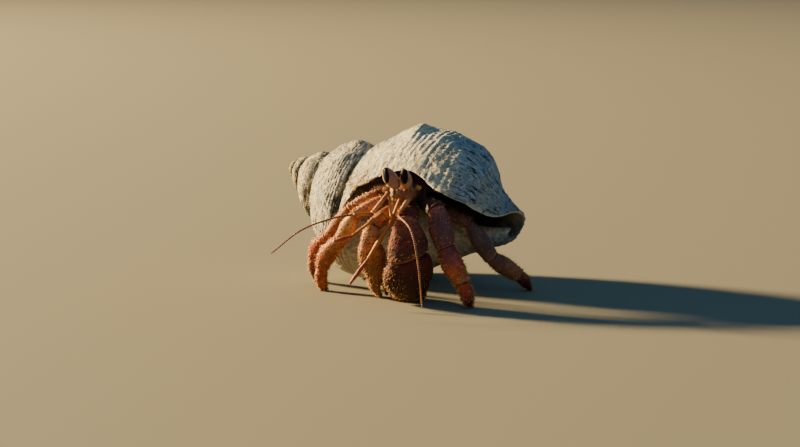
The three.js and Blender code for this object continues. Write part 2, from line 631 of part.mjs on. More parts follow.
// The soft belly curls back through the hollow, midway between its two walls.
const BELLY_FROM_TURN = -0.21;
const BELLY_TO_TURN = -0.6;
const bellyStations = range(BELLY_FROM_TURN, BELLY_TO_TURN, 6).map((t, i) => {
  const inside = shellSurface(1.25, t - 1);
  const outside = shellSurface(0.85, t, WALL);
  const reach = inside.distanceTo(outside) / 2;
  const taper = lerp(0.5, 0.34, i / 6);
  return [inside.lerp(outside, 0.52), reach * taper * 1.1, reach * taper];
});
crab.add(piece("abdomen", loft(bellyStations, 12, 10, axis), BELLY_PINK));

// The origin lies on the floor under the middle of the whole animal.
crab.position.set(3.48, -9.1, 0);

export default crab;
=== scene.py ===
# %% [markdown]
# # A land hermit crab in a worn whelk shell
# This lesson dresses a still, life-size museum model of a land hermit crab. The crab
# lives in the cast-off shell of a whelk, and carries it as it walks. The solids of the
# model are already made at their real size, in the same place. Here every one of them is
# built again as a fine mesh, from the same measures, with the surface of the real thing.

# %% Load the frame
import bpy
import numpy as np
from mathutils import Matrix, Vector


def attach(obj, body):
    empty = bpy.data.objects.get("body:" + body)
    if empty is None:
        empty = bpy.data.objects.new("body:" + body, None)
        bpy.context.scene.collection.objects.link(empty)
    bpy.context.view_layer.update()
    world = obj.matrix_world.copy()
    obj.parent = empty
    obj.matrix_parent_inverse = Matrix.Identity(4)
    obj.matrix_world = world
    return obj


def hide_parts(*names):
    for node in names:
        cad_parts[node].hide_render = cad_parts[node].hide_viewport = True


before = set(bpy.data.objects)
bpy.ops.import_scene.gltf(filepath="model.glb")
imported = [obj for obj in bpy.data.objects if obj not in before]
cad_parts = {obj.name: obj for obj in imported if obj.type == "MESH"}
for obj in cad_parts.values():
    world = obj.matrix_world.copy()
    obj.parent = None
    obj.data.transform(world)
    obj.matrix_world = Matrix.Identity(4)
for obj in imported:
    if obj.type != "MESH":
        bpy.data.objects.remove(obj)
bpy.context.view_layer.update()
print(len(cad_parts), "solids in the frame")

# %% [markdown]
# The measures below are in millimetres, because the crab is only 60 mm long and small
# numbers with four zeros are hard to read. Each mesh is turned into metres as it is made.
# SHIFT carries a point from the measures' own origin to the model's, which lies on the
# floor under the middle of the animal.

# %% Units and place
METRES = 0.001
SHIFT = np.array([3.48, -9.1, 0.0])
UP = np.array([0.0, 0.0, 1.0])
print("one unit of the measures is", METRES, "m")

# %% [markdown]
# Natural forms are smooth curves through a few known sizes. `along` reads such a curve.
# `smooth` is a soft step from 0 to 1, and `bump` is a soft hill round a place. `heading`
# turns a compass direction and a slope into a unit vector, as one describes a leg.

# %% Curves and directions
def smooth(x):
    """Zero below 0, one above 1, and an S-shaped rise between them."""
    x = np.clip(x, 0.0, 1.0)
    return x * x * (3 - 2 * x)


def bump(x, centre, width):
    """A bell of height one round the centre."""
    return np.exp(-(((x - centre) / width) ** 2))


def along(values, u):
    """A smooth curve through evenly spaced values, read at u from 0 to 1."""
    values = np.asarray(values, float)
    last = len(values) - 1
    x = np.clip(np.asarray(u, float), 0, 1) * last
    i = np.minimum(x.astype(int), last - 1)
    f = x - i
    ends = [2 * values[:1] - values[1:2], values, 2 * values[-1:] - values[-2:-1]]
    padded = np.concatenate(ends)
    a, b, c, d = (padded[i + k] for k in range(4))
    if values.ndim == 2:
        f = f[..., None]
    square = 2 * a - 5 * b + 4 * c - d
    cube = 3 * b - a - 3 * c + d
    return b + 0.5 * f * ((c - a) + f * (square + f * cube))


def unit(v):
    """The same direction with length one."""
    v = np.asarray(v, float)
    return v / np.maximum(np.linalg.norm(v, axis=-1, keepdims=True), 1e-12)


def heading(heading_deg, pitch_deg):
    """The direction of a compass turn and a slope upwards, both in degrees."""
    h, p = np.radians(heading_deg), np.radians(pitch_deg)
    return np.array([np.cos(h) * np.cos(p), np.sin(h) * np.cos(p), np.sin(p)])


print("half way through 0, 4, 0 the curve reads", along([0, 4, 0], 0.5))

# %% [markdown]
# Worn shell and crab skin are irregular. Two kinds of noise give that here, both made
# from a number scrambler on a grid, so each run gives the same model. `clouds` drifts
# softly between 0 and 1. `grains` scatters one point in each cell of space and gives the
# distance to the nearest, with a number that belongs to that point: good for granules
# and pits, which are separate things with a size of their own.

# %% Noise
def scramble(cells, seed):
    """A repeatable number from 0 to 1 for each cell of a cubic grid."""
    x, y, z = (cells[..., k].astype(np.int64).astype(np.uint32) for k in range(3))
    n = x * np.uint32(374761393) + y * np.uint32(668265263) + z * np.uint32(2246822519)
    n = n + np.uint32(seed * 7919 + 13)
    n = (n ^ (n >> np.uint32(13))) * np.uint32(1274126177)
    n = (n ^ (n >> np.uint32(15))) * np.uint32(2654435769)
    return (n ^ (n >> np.uint32(16))).astype(float) / 0xFFFFFFFF


def soft_noise(points, seed):
    """Smooth noise from 0 to 1, with cells of one unit."""
    cell = np.floor(points)
    f = points - cell
    f = f * f * (3 - 2 * f)
    total = 0.0
    for dx in (0, 1):
        for dy in (0, 1):
            for dz in (0, 1):
                corner = scramble(cell + np.array([dx, dy, dz]), seed)
                weight = np.abs(1 - dx - f[..., 0]) * np.abs(1 - dy - f[..., 1])
                total = total + corner * weight * np.abs(1 - dz - f[..., 2])
    return total


def clouds(points, size, seed, octaves=3):
    """Layers of soft noise, each finer and weaker than the one before."""
    total, weight = 0.0, 0.0
    for k in range(octaves):
        share = 0.55 ** k
        total = total + share * soft_noise(points / size * 2.03 ** k + 17.3 * k, seed + k)
        weight += share
    return total / weight


def grains(points, size, seed):
    scaled = points / size
    cell = np.floor(scaled)
    best = np.full(scaled.shape[:-1], 9.0)
    label = np.zeros(scaled.shape[:-1])
    for dx in (-1, 0, 1):
        for dy in (-1, 0, 1):
            for dz in (-1, 0, 1):
                near = cell + np.array([dx, dy, dz])
                spot = [near[..., k] + 0.1 + 0.8 * scramble(near, seed + 31 * k) for k in range(3)]
                distance = np.sqrt(sum((scaled[..., k] - spot[k]) ** 2 for k in range(3)))
                closer = distance < best
                best = np.where(closer, distance, best)
                label = np.where(closer, scramble(near, seed + 97), label)
    return best * size, label


print("a sample of the noise:", round(float(clouds(np.array([[1.5, 2.5, 3.5]]), 2.0, 4)[0]), 3))

# %% [markdown]
# A piece is collected as patches of points on a grid, sewn together by their indices. A
# tube is a patch that is sewn round, with a hub that closes it at each end. Masks that
# the materials read, such as how deep a pit is, are kept for each point.

# %% Patches of points
class Patches:
    def __init__(self):
        self.points, self.masks, self.quads, self.tris, self.count = [], [], [], [], 0

    def add(self, points, **masks):
        """Adds a grid of points with their masks, and returns the grid of their indices."""
        points = np.asarray(points, float)
        shape = points.shape[:-1]
        flat_masks = {}
        for key, value in masks.items():
            width = (3,) if key == "tint" else ()
            value = np.broadcast_to(np.asarray(value, float), shape + width)
            flat_masks[key] = value.reshape((-1,) + width)
        self.points.append(points.reshape(-1, 3))
        self.masks.append(flat_masks)
        index = self.count + np.arange(len(self.points[-1])).reshape(shape)
        self.count += index.size
        return index

    def sew(self, index, wrap=False):
        """Quads between the rows of a grid of indices, and round it where it wraps."""
        if wrap:
            index = np.concatenate([index, index[:, :1]], axis=1)
        corners = [index[:-1, :-1], index[:-1, 1:], index[1:, 1:], index[1:, :-1]]
        self.quads.append(np.stack(corners, -1).reshape(-1, 4))

    def fan(self, hub, ring):
        """Triangles from one point to each side of a row of others."""
        ring = np.asarray(ring).ravel()
        hubs = np.full(len(ring) - 1, hub)
        self.tris.append(np.stack([hubs, ring[:-1], ring[1:]], -1))

    def tube(self, points, ends, at_ends=None, **masks):
        """A grid that is sewn round, with a hub at each end in the mean look of its row."""
        index = self.add(points, **masks)
        self.sew(index, wrap=True)
        for hub, row, ring in ((ends[0], 0, index[0][::-1]), (ends[1], -1, index[-1])):
            own = {key: value[row].mean(0) if np.ndim(value) else value for key, value in masks.items()}
            own.update(at_ends or {})
            self.fan(self.add(hub[None], **own)[0], np.append(ring, ring[0]))

    def placed(self):
        return np.concatenate(self.points)

    def arrays(self):
        faces = [face for group in self.quads + self.tris for face in group.tolist()]
        masks = {}
        for name in sorted({key for patch in self.masks for key in patch}):
            width = (3,) if name == "tint" else ()
            rows = [patch.get(name, np.zeros((len(flat),) + width))
                    for patch, flat in zip(self.masks, self.points)]
            masks[name] = np.concatenate(rows)
        return self.placed(), faces, masks


sample = Patches()
sample.sew(sample.add(np.zeros((2, 2, 3))))
print("a patch of four points has", len(sample.quads[0]), "face")

# %% [markdown]
# A piece stands for solids of the frame, which are then hidden. Only the bristles stand
# for none. Each piece takes a material, and its masks become named attributes of the
# mesh. Nothing may sink below the floor, so points that would are lifted to it.

# %% Mesh builder
tally = {}


def clear_floor(points):
    points = points.copy()
    points[..., 2] = np.maximum(points[..., 2], 0.0)
    return points


def on_floor(patches):
    points, faces, masks = patches.arrays()
    return clear_floor(points), faces, masks


def signed_volume(points, faces):
    fans = [(f[0], f[k], f[k + 1]) for f in faces for k in range(1, len(f) - 1)]
    a, b, c = (points[[t[k] for t in fans]] for k in range(3))
    return float(np.einsum("ij,ij->", a, np.cross(b, c))) / 6


def store(mesh, masks):
    for name, values in masks.items():
        kind = "FLOAT_COLOR" if values.ndim == 2 else "FLOAT"
        layer = mesh.attributes.new(name, kind, "POINT")
        if values.ndim == 2:
            opaque = np.concatenate([values, np.ones((len(values), 1))], axis=1)
            layer.data.foreach_set("color", opaque.astype(np.float32).ravel())
        else:
            layer.data.foreach_set("value", values.astype(np.float32))


def make_piece(name, patches, material, nodes):
    """One mesh of the model, which rides on the body and hides the solids it stands for."""
    points, faces, masks = patches if isinstance(patches, tuple) else patches.arrays()
    if signed_volume(points, faces) < 0:
        faces = [f[::-1] for f in faces]
    mesh = bpy.data.meshes.new(name)
    mesh.from_pydata(((points + SHIFT) * METRES).tolist(), [], faces)
    mesh.polygons.foreach_set("use_smooth", [True] * len(mesh.polygons))
    store(mesh, masks)
    mesh.update()
    mesh.materials.append(material)
    piece = bpy.data.objects.new(name, mesh)
    bpy.context.scene.collection.objects.link(piece)
    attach(piece, "root")
    if nodes:
        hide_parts(*nodes)
    tally[name] = sum(len(f) - 2 for f in faces)
    return piece


print("mesh builder ready")

# %% [markdown]
# ## Finishes
# Colours are written as they look on a screen, and turned into the light values that
# Blender mixes with. Four effects are placed in the finishes, some of them many times, so
# each is a node group: a fine grain for bump, freckles of pigment, a mottling between two
# colours, and the marks of scouring sand.

# %% Colour and node helpers
def paint(code):
    """The linear light of a colour code."""
    parts = np.array([int(code[k:k + 2], 16) for k in (1, 3, 5)]) / 255
    return np.where(parts <= 0.04045, parts / 12.92, ((parts + 0.055) / 1.055) ** 2.4)


def rgba(code):
    return (*paint(code).tolist(), 1.0)


def add_node(tree, kind, values=None, **settings):
    node = tree.nodes.new(kind)
    for key, value in settings.items():
        setattr(node, key, value)
    for key, value in (values or {}).items():
        if isinstance(value, bpy.types.NodeSocket):
            tree.links.new(value, node.inputs[key])
        else:
            node.inputs[key].default_value = value
    return node


def mix_colour(tree, factor, a, b, blend="MIX"):
    node = add_node(tree, "ShaderNodeMix", data_type="RGBA", blend_type=blend)
    for socket, value in ((node.inputs[0], factor), (node.inputs[6], a), (node.inputs[7], b)):
        if isinstance(value, bpy.types.NodeSocket):
            tree.links.new(value, socket)
        else:
            socket.default_value = value
    return node.outputs[2]


def maths(tree, operation, *values, clamp=False):
    node = add_node(tree, "ShaderNodeMath", operation=operation, use_clamp=clamp)
    for k, value in enumerate(values):
        if isinstance(value, bpy.types.NodeSocket):
            tree.links.new(value, node.inputs[k])
        else:
            node.inputs[k].default_value = value
    return node.outputs[0]


def mask(tree, name, colour=False):
    node = add_node(tree, "ShaderNodeAttribute", attribute_name=name)
    return node.outputs["Color" if colour else "Fac"]


def new_group(name, inputs, outputs):
    group = bpy.data.node_groups.new(name, "ShaderNodeTree")
    for label, kind, default in inputs:
        socket = group.interface.new_socket(label, in_out="INPUT", socket_type=kind)
        socket.default_value = default
    for label, kind in outputs:
        group.interface.new_socket(label, in_out="OUTPUT", socket_type=kind)
    inlet, outlet = group.nodes.new("NodeGroupInput"), group.nodes.new("NodeGroupOutput")
    return group, inlet.outputs, outlet.inputs


def place(tree, group, **values):
    node = tree.nodes.new("ShaderNodeGroup")
    node.node_tree = group
    for key, value in values.items():
        socket = node.inputs[key.replace("_", " ")]
        if isinstance(value, bpy.types.NodeSocket):
            tree.links.new(value, socket)
        else:
            socket.default_value = value
    return node.outputs


print("orange as light:", paint("#c9662f").round(3))

# %% [markdown]
# The grain group sums a fine and a coarse noise into a height. The freckle group keeps
# only the centres of scattered cells, and leaves most cells out, so the dots stay apart.
# The mottle group drifts between two colours. These three work in the object's own space,
# so the pattern stays with the piece in every view. The scour group reads the unrolled
# shell instead, whose two directions the mesh stores as `across` and `onward`, so that its
# marks can be drawn out along the whorl or across it.

# %% Shared effects
FLOAT, COLOUR = "NodeSocketFloat", "NodeSocketColor"


def add_noise(tree, place_of, scale, **settings):
    values = {"Vector": place_of, "Scale": scale, **settings}
    return add_node(tree, "ShaderNodeTexNoise", values).outputs["Fac"]


def build_grain():
    sockets = [("Size", FLOAT, 4000.0), ("Coarse", FLOAT, 0.5)]
    group, inputs, outputs = new_group("Fine grain", sockets, [("Height", FLOAT)])
    place_of = add_node(group, "ShaderNodeTexCoord").outputs["Object"]
    fine = add_noise(group, place_of, inputs["Size"], Detail=4.0)
    wide = add_noise(group, place_of, maths(group, "MULTIPLY", inputs["Size"], 0.22), Detail=2.0)
    height = maths(group, "MULTIPLY_ADD", wide, inputs["Coarse"], fine)
    group.links.new(height, outputs["Height"])
    return group


def build_freckles():
    sockets = [("Size", FLOAT, 1500.0), ("Width", FLOAT, 0.25), ("Share", FLOAT, 0.4)]
    group, inputs, outputs = new_group("Freckles", sockets, [("Mask", FLOAT)])
    place_of = add_node(group, "ShaderNodeTexCoord").outputs["Object"]
    cells = add_node(group, "ShaderNodeTexVoronoi", {"Vector": place_of, "Scale": inputs["Size"]})
    lot = add_node(group, "ShaderNodeSeparateColor", {"Color": cells.outputs["Color"]}).outputs[0]
    kept = maths(group, "LESS_THAN", lot, inputs["Share"])
    inner = maths(group, "SUBTRACT", inputs["Width"], cells.outputs["Distance"])
    dot = maths(group, "MULTIPLY", inner, 12.0, clamp=True)
    group.links.new(maths(group, "MULTIPLY", dot, kept), outputs["Mask"])
    return group


def build_mottle():
    sockets = [("Light", COLOUR, (1, 1, 1, 1)), ("Dark", COLOUR, (0, 0, 0, 1)),
               ("Size", FLOAT, 300.0), ("Dark share", FLOAT, 0.5)]
    group, inputs, outputs = new_group("Mottle", sockets, [("Color", COLOUR)])
    place_of = add_node(group, "ShaderNodeTexCoord").outputs["Object"]
    noise = add_noise(group, place_of, inputs["Size"], Detail=5.0, Roughness=0.62)
    above = maths(group, "SUBTRACT", noise, 0.36)
    factor = maths(group, "MULTIPLY", maths(group, "MULTIPLY", above, 3.4, clamp=True), inputs["Dark share"])
    group.links.new(mix_colour(group, factor, inputs["Light"], inputs["Dark"]), outputs["Color"])
    return group


def build_scour():
    sockets = [("Share", FLOAT, 0.5), ("Across", FLOAT, 1.0), ("Onward", FLOAT, 1.0)]
    group, inputs, outputs = new_group("Scour marks", sockets, [("Mask", FLOAT)])
    across = maths(group, "MULTIPLY", mask(group, "across"), inputs["Across"])
    onward = maths(group, "MULTIPLY", mask(group, "onward"), inputs["Onward"])
    plan = add_node(group, "ShaderNodeCombineXYZ", {"X": across, "Y": onward}).outputs[0]
    noise = add_noise(group, plan, 1.0, Detail=3.0, Roughness=0.6)
    level = maths(group, "MULTIPLY_ADD", inputs["Share"], -0.10, 0.66)
    above = maths(group, "SUBTRACT", noise, level)
    group.links.new(maths(group, "MULTIPLY", above, 18.0, clamp=True), outputs["Mask"])
    return group


grain, freckles, mottle, scour = build_grain(), build_freckles(), build_mottle(), build_scour()
print("shared effects:", grain.name, freckles.name, mottle.name, scour.name)

# %% [markdown]
# The crab's hard skin is a thin, slightly shiny crust of chitin and lime. Its colour is
# painted on each piece as a tint. Here the finish adds what all pieces share: mottling,
# dark freckles where the skin has pores, and pale tops on the granules, because they
# wear and catch the light.

# %% Hard skin
def finish_with(tree, colour, roughness, height, strength, distance):
    """Joins the colour, the roughness and the relief to the shader, and returns it."""
    shader = tree.nodes["Principled BSDF"]
    tree.links.new(colour, shader.inputs["Base Color"])
    if isinstance(roughness, bpy.types.NodeSocket):
        tree.links.new(roughness, shader.inputs["Roughness"])
    else:
        shader.inputs["Roughness"].default_value = roughness
    values = {"Height": height, "Strength": strength, "Distance": distance}
    relief = add_node(tree, "ShaderNodeBump", values)
    tree.links.new(relief.outputs["Normal"], shader.inputs["Normal"])
    return shader


def new_material(name):
    material = bpy.data.materials.new(name)
    material.use_nodes = True
    return material, material.node_tree


def hard_skin(name, freckle, freckle_share, pale, roughness, coat=0.0, glow=0.0, shine=0.5):
    material, tree = new_material(name)
    tint = mask(tree, "tint", colour=True)
    deeper = mix_colour(tree, 1.0, tint, (0.45, 0.32, 0.28, 1), "MULTIPLY")
    skin = place(tree, mottle, Light=tint, Dark=deeper, Size=480.0, Dark_share=0.7)["Color"]
    spots = place(tree, freckles, Size=1150.0, Width=0.24, Share=freckle_share)["Mask"]
    spots = maths(tree, "MAXIMUM", maths(tree, "MULTIPLY", spots, 0.8), mask(tree, "dot"))
    skin = mix_colour(tree, spots, skin, rgba(freckle))
    skin = mix_colour(tree, mask(tree, "granule"), skin, rgba(pale))
    height = place(tree, grain, Size=4200.0, Coarse=1.0)["Height"]
    rough = maths(tree, "MULTIPLY_ADD", mask(tree, "granule"), -0.12, roughness)
    shader = finish_with(tree, skin, rough, height, 0.6, 0.0002)
    shader.inputs["Specular IOR Level"].default_value = shine
    shader.inputs["Coat Weight"].default_value = coat
    shader.inputs["Coat Roughness"].default_value = 0.3
    shader.inputs["Subsurface Weight"].default_value = glow
    shader.inputs["Subsurface Radius"].default_value = (0.0012, 0.0005, 0.0003)
    shader.inputs["Subsurface Scale"].default_value = 1.0
    return material


leg_skin = hard_skin("leg skin", "#240a04", 0.34, "#e8a854", 0.5, coat=0.04, glow=0.02)
small_claw_skin = hard_skin("small claw skin", "#280c04", 0.34, "#ecb468", 0.5, coat=0.04, glow=0.02)
big_claw_skin = hard_skin("big claw skin", "#100504", 0.30, "#dc9844", 0.68, shine=0.3)
body_skin = hard_skin("body skin", "#180c08", 0.25, "#a9835c", 0.6)
stalk_skin = hard_skin("eyestalk skin", "#7d4a38", 0.5, "#e3bd96", 0.42, coat=0.15, glow=0.06)
feeler_skin = hard_skin("feeler skin", "#5d2411", 0.05, "#ecae54", 0.45, coat=0.08, glow=0.04)
print("hard skins made")

# %% [markdown]
# The cornea is nearly black, with a faint sheen that leaves its oval dark from all sides.
# The soft skin between the plates and on the belly is thin and moist. The bristles are
# stiff golden chitin.

# %% Eyes, soft skin and bristles
def mottled(tree, light, dark, size, dark_share):
    return place(tree, mottle, Light=rgba(light), Dark=rgba(dark), Size=size, Dark_share=dark_share)["Color"]


def plain_finish(name, light, dark, size, roughness, coat, strength, shine=0.5):
    material, tree = new_material(name)
    colour = mottled(tree, light, dark, size, 0.8)
    height = place(tree, grain, Size=3000.0, Coarse=1.0)["Height"]
    shader = finish_with(tree, colour, roughness, height, strength, 0.0001)
    shader.inputs["Specular IOR Level"].default_value = shine
    shader.inputs["Coat Weight"].default_value = coat
    shader.inputs["Coat Roughness"].default_value = 0.08
    return material


cornea = plain_finish("cornea", "#1c0d06", "#080301", 1600.0, 0.55, 0.0, 0.05, shine=0.15)
soft_skin = plain_finish("soft skin", "#8a4a2a", "#4c2012", 500.0, 0.5, 0.1, 0.4)
bristle = plain_finish("bristle", "#e0a250", "#a86a2a", 900.0, 0.4, 0.0, 0.0)
print("smooth finishes made")

# %% [markdown]
# The shell is lime, bleached by the sun, scoured by sand and stained by algae. Its masks
# come from the mesh: how deep a pit is, together with painted shade in seams, grooves,
# valleys and dents; how much a ridge stands up, which pales its top as wear and as painted
# highlight; how stained or creamy a region is; where a golden film is left; how far it lies
# on the side turned away from the lamp, which is painted slate grey as shade; where stains
# and sand marks are strongest; and whether it is the smooth inside.

# %% Shell finish
def build_shell_finish():
    material, tree = new_material("worn shell")
    chalk = mottled(tree, "#e8e4c8", "#86826a", 1000.0, 0.9)
    # Slate: algae stain, and painted shade on the side turned away from the lamp.
    slate_and_shade = mottled(tree, "#b2ccd6", "#5e747c", 900.0, 0.9)
    cream = mottled(tree, "#f4eac4", "#b49c60", 800.0, 0.75)
    colour = mix_colour(tree, mask(tree, "stain"), chalk, slate_and_shade)
    colour = mix_colour(tree, mask(tree, "warm"), colour, cream)
    # Pale cord tops: partly wear, partly painted highlight.
    colour = mix_colour(tree, mask(tree, "ridge"), colour, rgba("#ece6d6"))
    colour = mix_colour(tree, mask(tree, "gold"), colour, rgba("#94763c"))
    long_marks = place(tree, scour, Share=mask(tree, "lee"), Across=0.36, Onward=1.25)["Mask"]
    long_marks = maths(tree, "MULTIPLY", long_marks, mask(tree, "lee"))
    small_marks = place(tree, scour, Share=mask(tree, "stain"), Across=3.4, Onward=1.3)["Mask"]
    spots = maths(tree, "MAXIMUM", long_marks, maths(tree, "MULTIPLY", small_marks, 0.6))
    outside = maths(tree, "SUBTRACT", 1.0, mask(tree, "inside"))
    spots = maths(tree, "MULTIPLY", maths(tree, "MAXIMUM", spots, mask(tree, "pit")), outside)
    # Near black for real pits and scour marks, and for painted shade in seams, grooves, valleys and dents.
    colour = mix_colour(tree, spots, colour, rgba("#2c302c"))
    lining = mottled(tree, "#a8a48e", "#5c5846", 160.0, 0.9)
    colour = mix_colour(tree, mask(tree, "inside"), colour, lining)
    height = place(tree, grain, Size=3000.0, Coarse=2.2)["Height"]
    height = maths(tree, "MULTIPLY_ADD", spots, -0.6, height)
    rough = maths(tree, "MULTIPLY_ADD", mask(tree, "inside"), -0.35, 0.82)
    finish_with(tree, colour, rough, height, 0.9, 0.0008)
    return material


worn_shell = build_shell_finish()
print("shell finish made")

# %% [markdown]
# ## The shell
# A snail lays its shell down at the lip, always turning about one axis and always growing
# by the same share. So two numbers name any place on it: `turn`, which counts whorls back
# from the lip at 0, and `s`, which runs across a whorl from its upper edge (0) to the seam
# that the next whorl covers (1), and over the open base to the canal (2). The same few
# sizes as in the solid shape the spiral, so the fine shell lies where the solid does.

# %% Shell sizes
SHELL_APEX = np.array([-32.3, 34.4, 26.65])
AXIS = heading(-29.7, -20.3)
SHELL_UP = unit(UP - AXIS * (UP @ AXIS))
SHELL_FRONT = np.cross(AXIS, SHELL_UP)
RADIUS_GROWTH, HEIGHT_GROWTH = 1.86, 2.0
CANAL_RADIUS_GROWTH, CANAL_HEIGHT_GROWTH = 3.4, 1.03
WHORL_TURNS = 4.2
LIP_ANGLE_DEG = 72
# Along the whorl's section, from its upper edge to the canal: height on the axis, and radius.
PROFILE_Z = [24.4, 28.0, 34.0, 41.5, 24.4 * HEIGHT_GROWTH, 56.5, 61.5, 63.2, 63.8]
PROFILE_R = [14.2, 18.3, 23.0, 26.6, 14.2 * RADIUS_GROWTH, 23.0, 13.0, 8.0, 5.5]
LIP_LEAD_DEG = [22, -12, -24, -14, -18, -95]
LIP_SHEAR_TURNS = 0.5
LIP_CHIPS, CHIPPED_TURNS = [(0.18, 0.05, 2.2), (0.33, 0.04, -2.0), (0.62, 0.03, -1.6)], 0.06
CANAL_BEND, CANAL_BEND_FROM, CANAL_BEND_TO = 9.5, 30.0, 62.0
KNOBS_PER_TURN, KNOB_HEIGHT, KNOB_BAND, KNOB_SPREAD = 9, 0.02, 0.55, 0.22
VARIX_TURN, VARIX_SPREAD, VARIX_HEIGHT = -0.2, 0.12, 0.035
VARIX_EXTRA, VARIX_EXTRA_AT, VARIX_EXTRA_SPREAD = 0.07, -0.7, 0.5
TOP_KNOBS = [(0.60, -0.165, 0.105, 0.10, 0.035), (0.45, -0.185, 0.045, 0.07, 0.035)]
WALL, LIP_WALL = 1.3, 0.55
MOUTH_DEPTH_TURNS = 0.8
MOUTH_CORNER, WALL_SWELL = 0.12, 0.35
SMALL_STEP, WELL_INSIDE = 0.004, 4.0
print("shell axis", AXIS.round(3))

# %% Shell surface
def shell_turn(s, t):
    """Where the growing edge really is: the lip leads in some places and lags in others."""
    ragged = 3.2 * (clouds(np.stack([s * 9, t * 0, s * 0], -1), 1.0, 5, 3) - 0.5)
    for place_on, spread, lead_deg in LIP_CHIPS:
        ragged = ragged + lead_deg * bump(s, place_on, spread)
    near_lip = smooth((t + CHIPPED_TURNS) / CHIPPED_TURNS)
    last_part = smooth((t + LIP_SHEAR_TURNS) / LIP_SHEAR_TURNS)
    ahead = along(LIP_LEAD_DEG, s / 2) * last_part + ragged * near_lip
    seam_weight = np.where(s < 1, s, 2 - s)
    seam_shear = LIP_LEAD_DEG[0] * smooth(1 - np.abs(t + 1) / LIP_SHEAR_TURNS) * seam_weight
    return t + (ahead + seam_shear) / 360


def swelling(s, turn):
    """How much the whorl stands out there, as a share of its radius."""
    beat = (turn + LIP_ANGLE_DEG / 360) * KNOBS_PER_TURN * 2 * np.pi
    knobs = KNOB_HEIGHT * bump(s, KNOB_BAND, KNOB_SPREAD) * np.cos(beat)
    from_varix = turn - VARIX_TURN - np.round(turn - VARIX_TURN)
    old = VARIX_EXTRA * bump(turn + s, VARIX_EXTRA_AT, VARIX_EXTRA_SPREAD)
    varix = (VARIX_HEIGHT + old) * bump(from_varix, 0, VARIX_SPREAD) * (1 - smooth(s - 1))
    top = sum(height * bump(s, place_on, across) * bump(turn, at, length)
              for place_on, at, height, across, length in TOP_KNOBS)
    return knobs + varix + top


def shell_surface(s, t, inset=0.0):
    """A point of the plain spiral, or of the same spiral moved in by a wall's thickness."""
    s, t = np.broadcast_arrays(np.asarray(s, float), np.asarray(t, float))
    turn = shell_turn(s, t)
    canal = smooth(s - 1)
    z_scale = HEIGHT_GROWTH ** turn * (1 - canal) + CANAL_HEIGHT_GROWTH ** turn * canal
    r_scale = RADIUS_GROWTH ** turn * (1 - canal) + CANAL_RADIUS_GROWTH ** turn * canal
    z = along(PROFILE_Z, s / 2) * z_scale
    r = along(PROFILE_R, s / 2) * r_scale * (1 + swelling(s, turn)) - inset
    angle = np.radians(LIP_ANGLE_DEG) + turn * 2 * np.pi
    past = np.maximum(0, (z - CANAL_BEND_FROM) / (CANAL_BEND_TO - CANAL_BEND_FROM))
    upward = r * np.cos(angle) + CANAL_BEND * past ** 2
    return (SHELL_APEX + z[..., None] * AXIS + upward[..., None] * SHELL_UP
            + (r * np.sin(angle))[..., None] * SHELL_FRONT)


def shell_normal(s, t):
    across = shell_surface(s + SMALL_STEP, t) - shell_surface(s - SMALL_STEP, t)
    onward = shell_surface(s, t + SMALL_STEP) - shell_surface(s, t - SMALL_STEP)
    normal = unit(np.cross(across, onward))
    middle = shell_surface(s, t, WELL_INSIDE)
    outward = np.sum(normal * (shell_surface(s, t) - middle), -1, keepdims=True)
    return normal * np.sign(outward)


print("the lip's upper corner is at", (shell_surface(0.0, 0.0) + SHIFT).round(2), "mm")

# %% [markdown]
# The surface carries what years at sea and on the beach left on it. It is built up here
# one layer at a time. Each layer is a short function of the place on the unrolled shell,
# in millimetres at the last whorl's scale, so that the pattern shrinks with the whorls.
# Later wear is read from the place in space instead. Beaded spiral cords with fine
# threads between them come first, and are worn away in places.

# %% Cords
ACROSS_MM, ROUND_MM = 32.0, 150.0
CORDS, CORD_HEIGHT = 19, 0.22
THREADS, THREAD_HEIGHT = 47, 0.09


def stretched(flat, across=1.0, onward=1.0):
    """The unrolled shell, with marks drawn out in the direction whose factor is below 1."""
    return flat * np.array([across, onward, 1])


def cord_relief(s, turn, flat, place_of):
    """The height of cords and threads, where the valleys between them are painted as shade, and where they
    are kept.
    """
    drift = 0.022 * (clouds(flat, 14.0, 23, 2) - 0.5)
    beads = 0.45 + 1.1 * clouds(stretched(flat, onward=0.45), 1.6, 27, 2)
    kept = 0.25 + 0.75 * smooth((clouds(place_of, 4.5, 11) - 0.36) / 0.22)
    cord = (0.5 + 0.5 * np.cos(2 * np.pi * CORDS * (s + drift))) ** 1.3
    thread = 0.5 + 0.5 * np.cos(2 * np.pi * THREADS * (s + drift))
    worn = 1 - 0.2 * bump(turn, -0.12, 0.09) - 0.4 * smooth((s - 0.8) / 0.4)
    valley_shade = smooth((0.45 - cord) / 0.4) * kept * smooth((clouds(flat, 2.2, 97) - 0.42) / 0.2)
    return (CORD_HEIGHT * cord * beads + THREAD_HEIGHT * thread) * kept * worn, valley_shade


print(CORDS, "cords run across a whorl, one each", round(ACROSS_MM / CORDS, 2), "mm")

# %% [markdown]
# Growth lines cross the cords. Every so often the snail paused, which left a step. Near
# the lip the last layers stand off like roof slates, and a groove runs just behind its
# lower part.

# %% Growth lines and lip layers
GROWTH_STEPS, STEP_HEIGHT = 13, 0.26
GROWTH_LINES, LINE_HEIGHT = 110, 0.08
LIP_LAYERS, LAYERED_TURNS = 4.0, 0.075
GROOVE_TURN, GROOVE_DEPTH = -0.030, 0.45


def growth_relief(s, turn, flat):
    """Steps where the snail paused, with fine lines over them."""
    beat = turn * GROWTH_STEPS + 1.1 * (clouds(flat, 12.0, 31, 2) - 0.5)
    steps = STEP_HEIGHT * (beat - np.floor(beat)) ** 2 * (0.4 + 0.6 * smooth((s - 0.5) / 0.6))
    fine_beat = turn * GROWTH_LINES + 2.2 * (clouds(flat, 4.0, 37, 2) - 0.5)
    return steps + LINE_HEIGHT * (0.5 + 0.5 * np.cos(2 * np.pi * fine_beat))


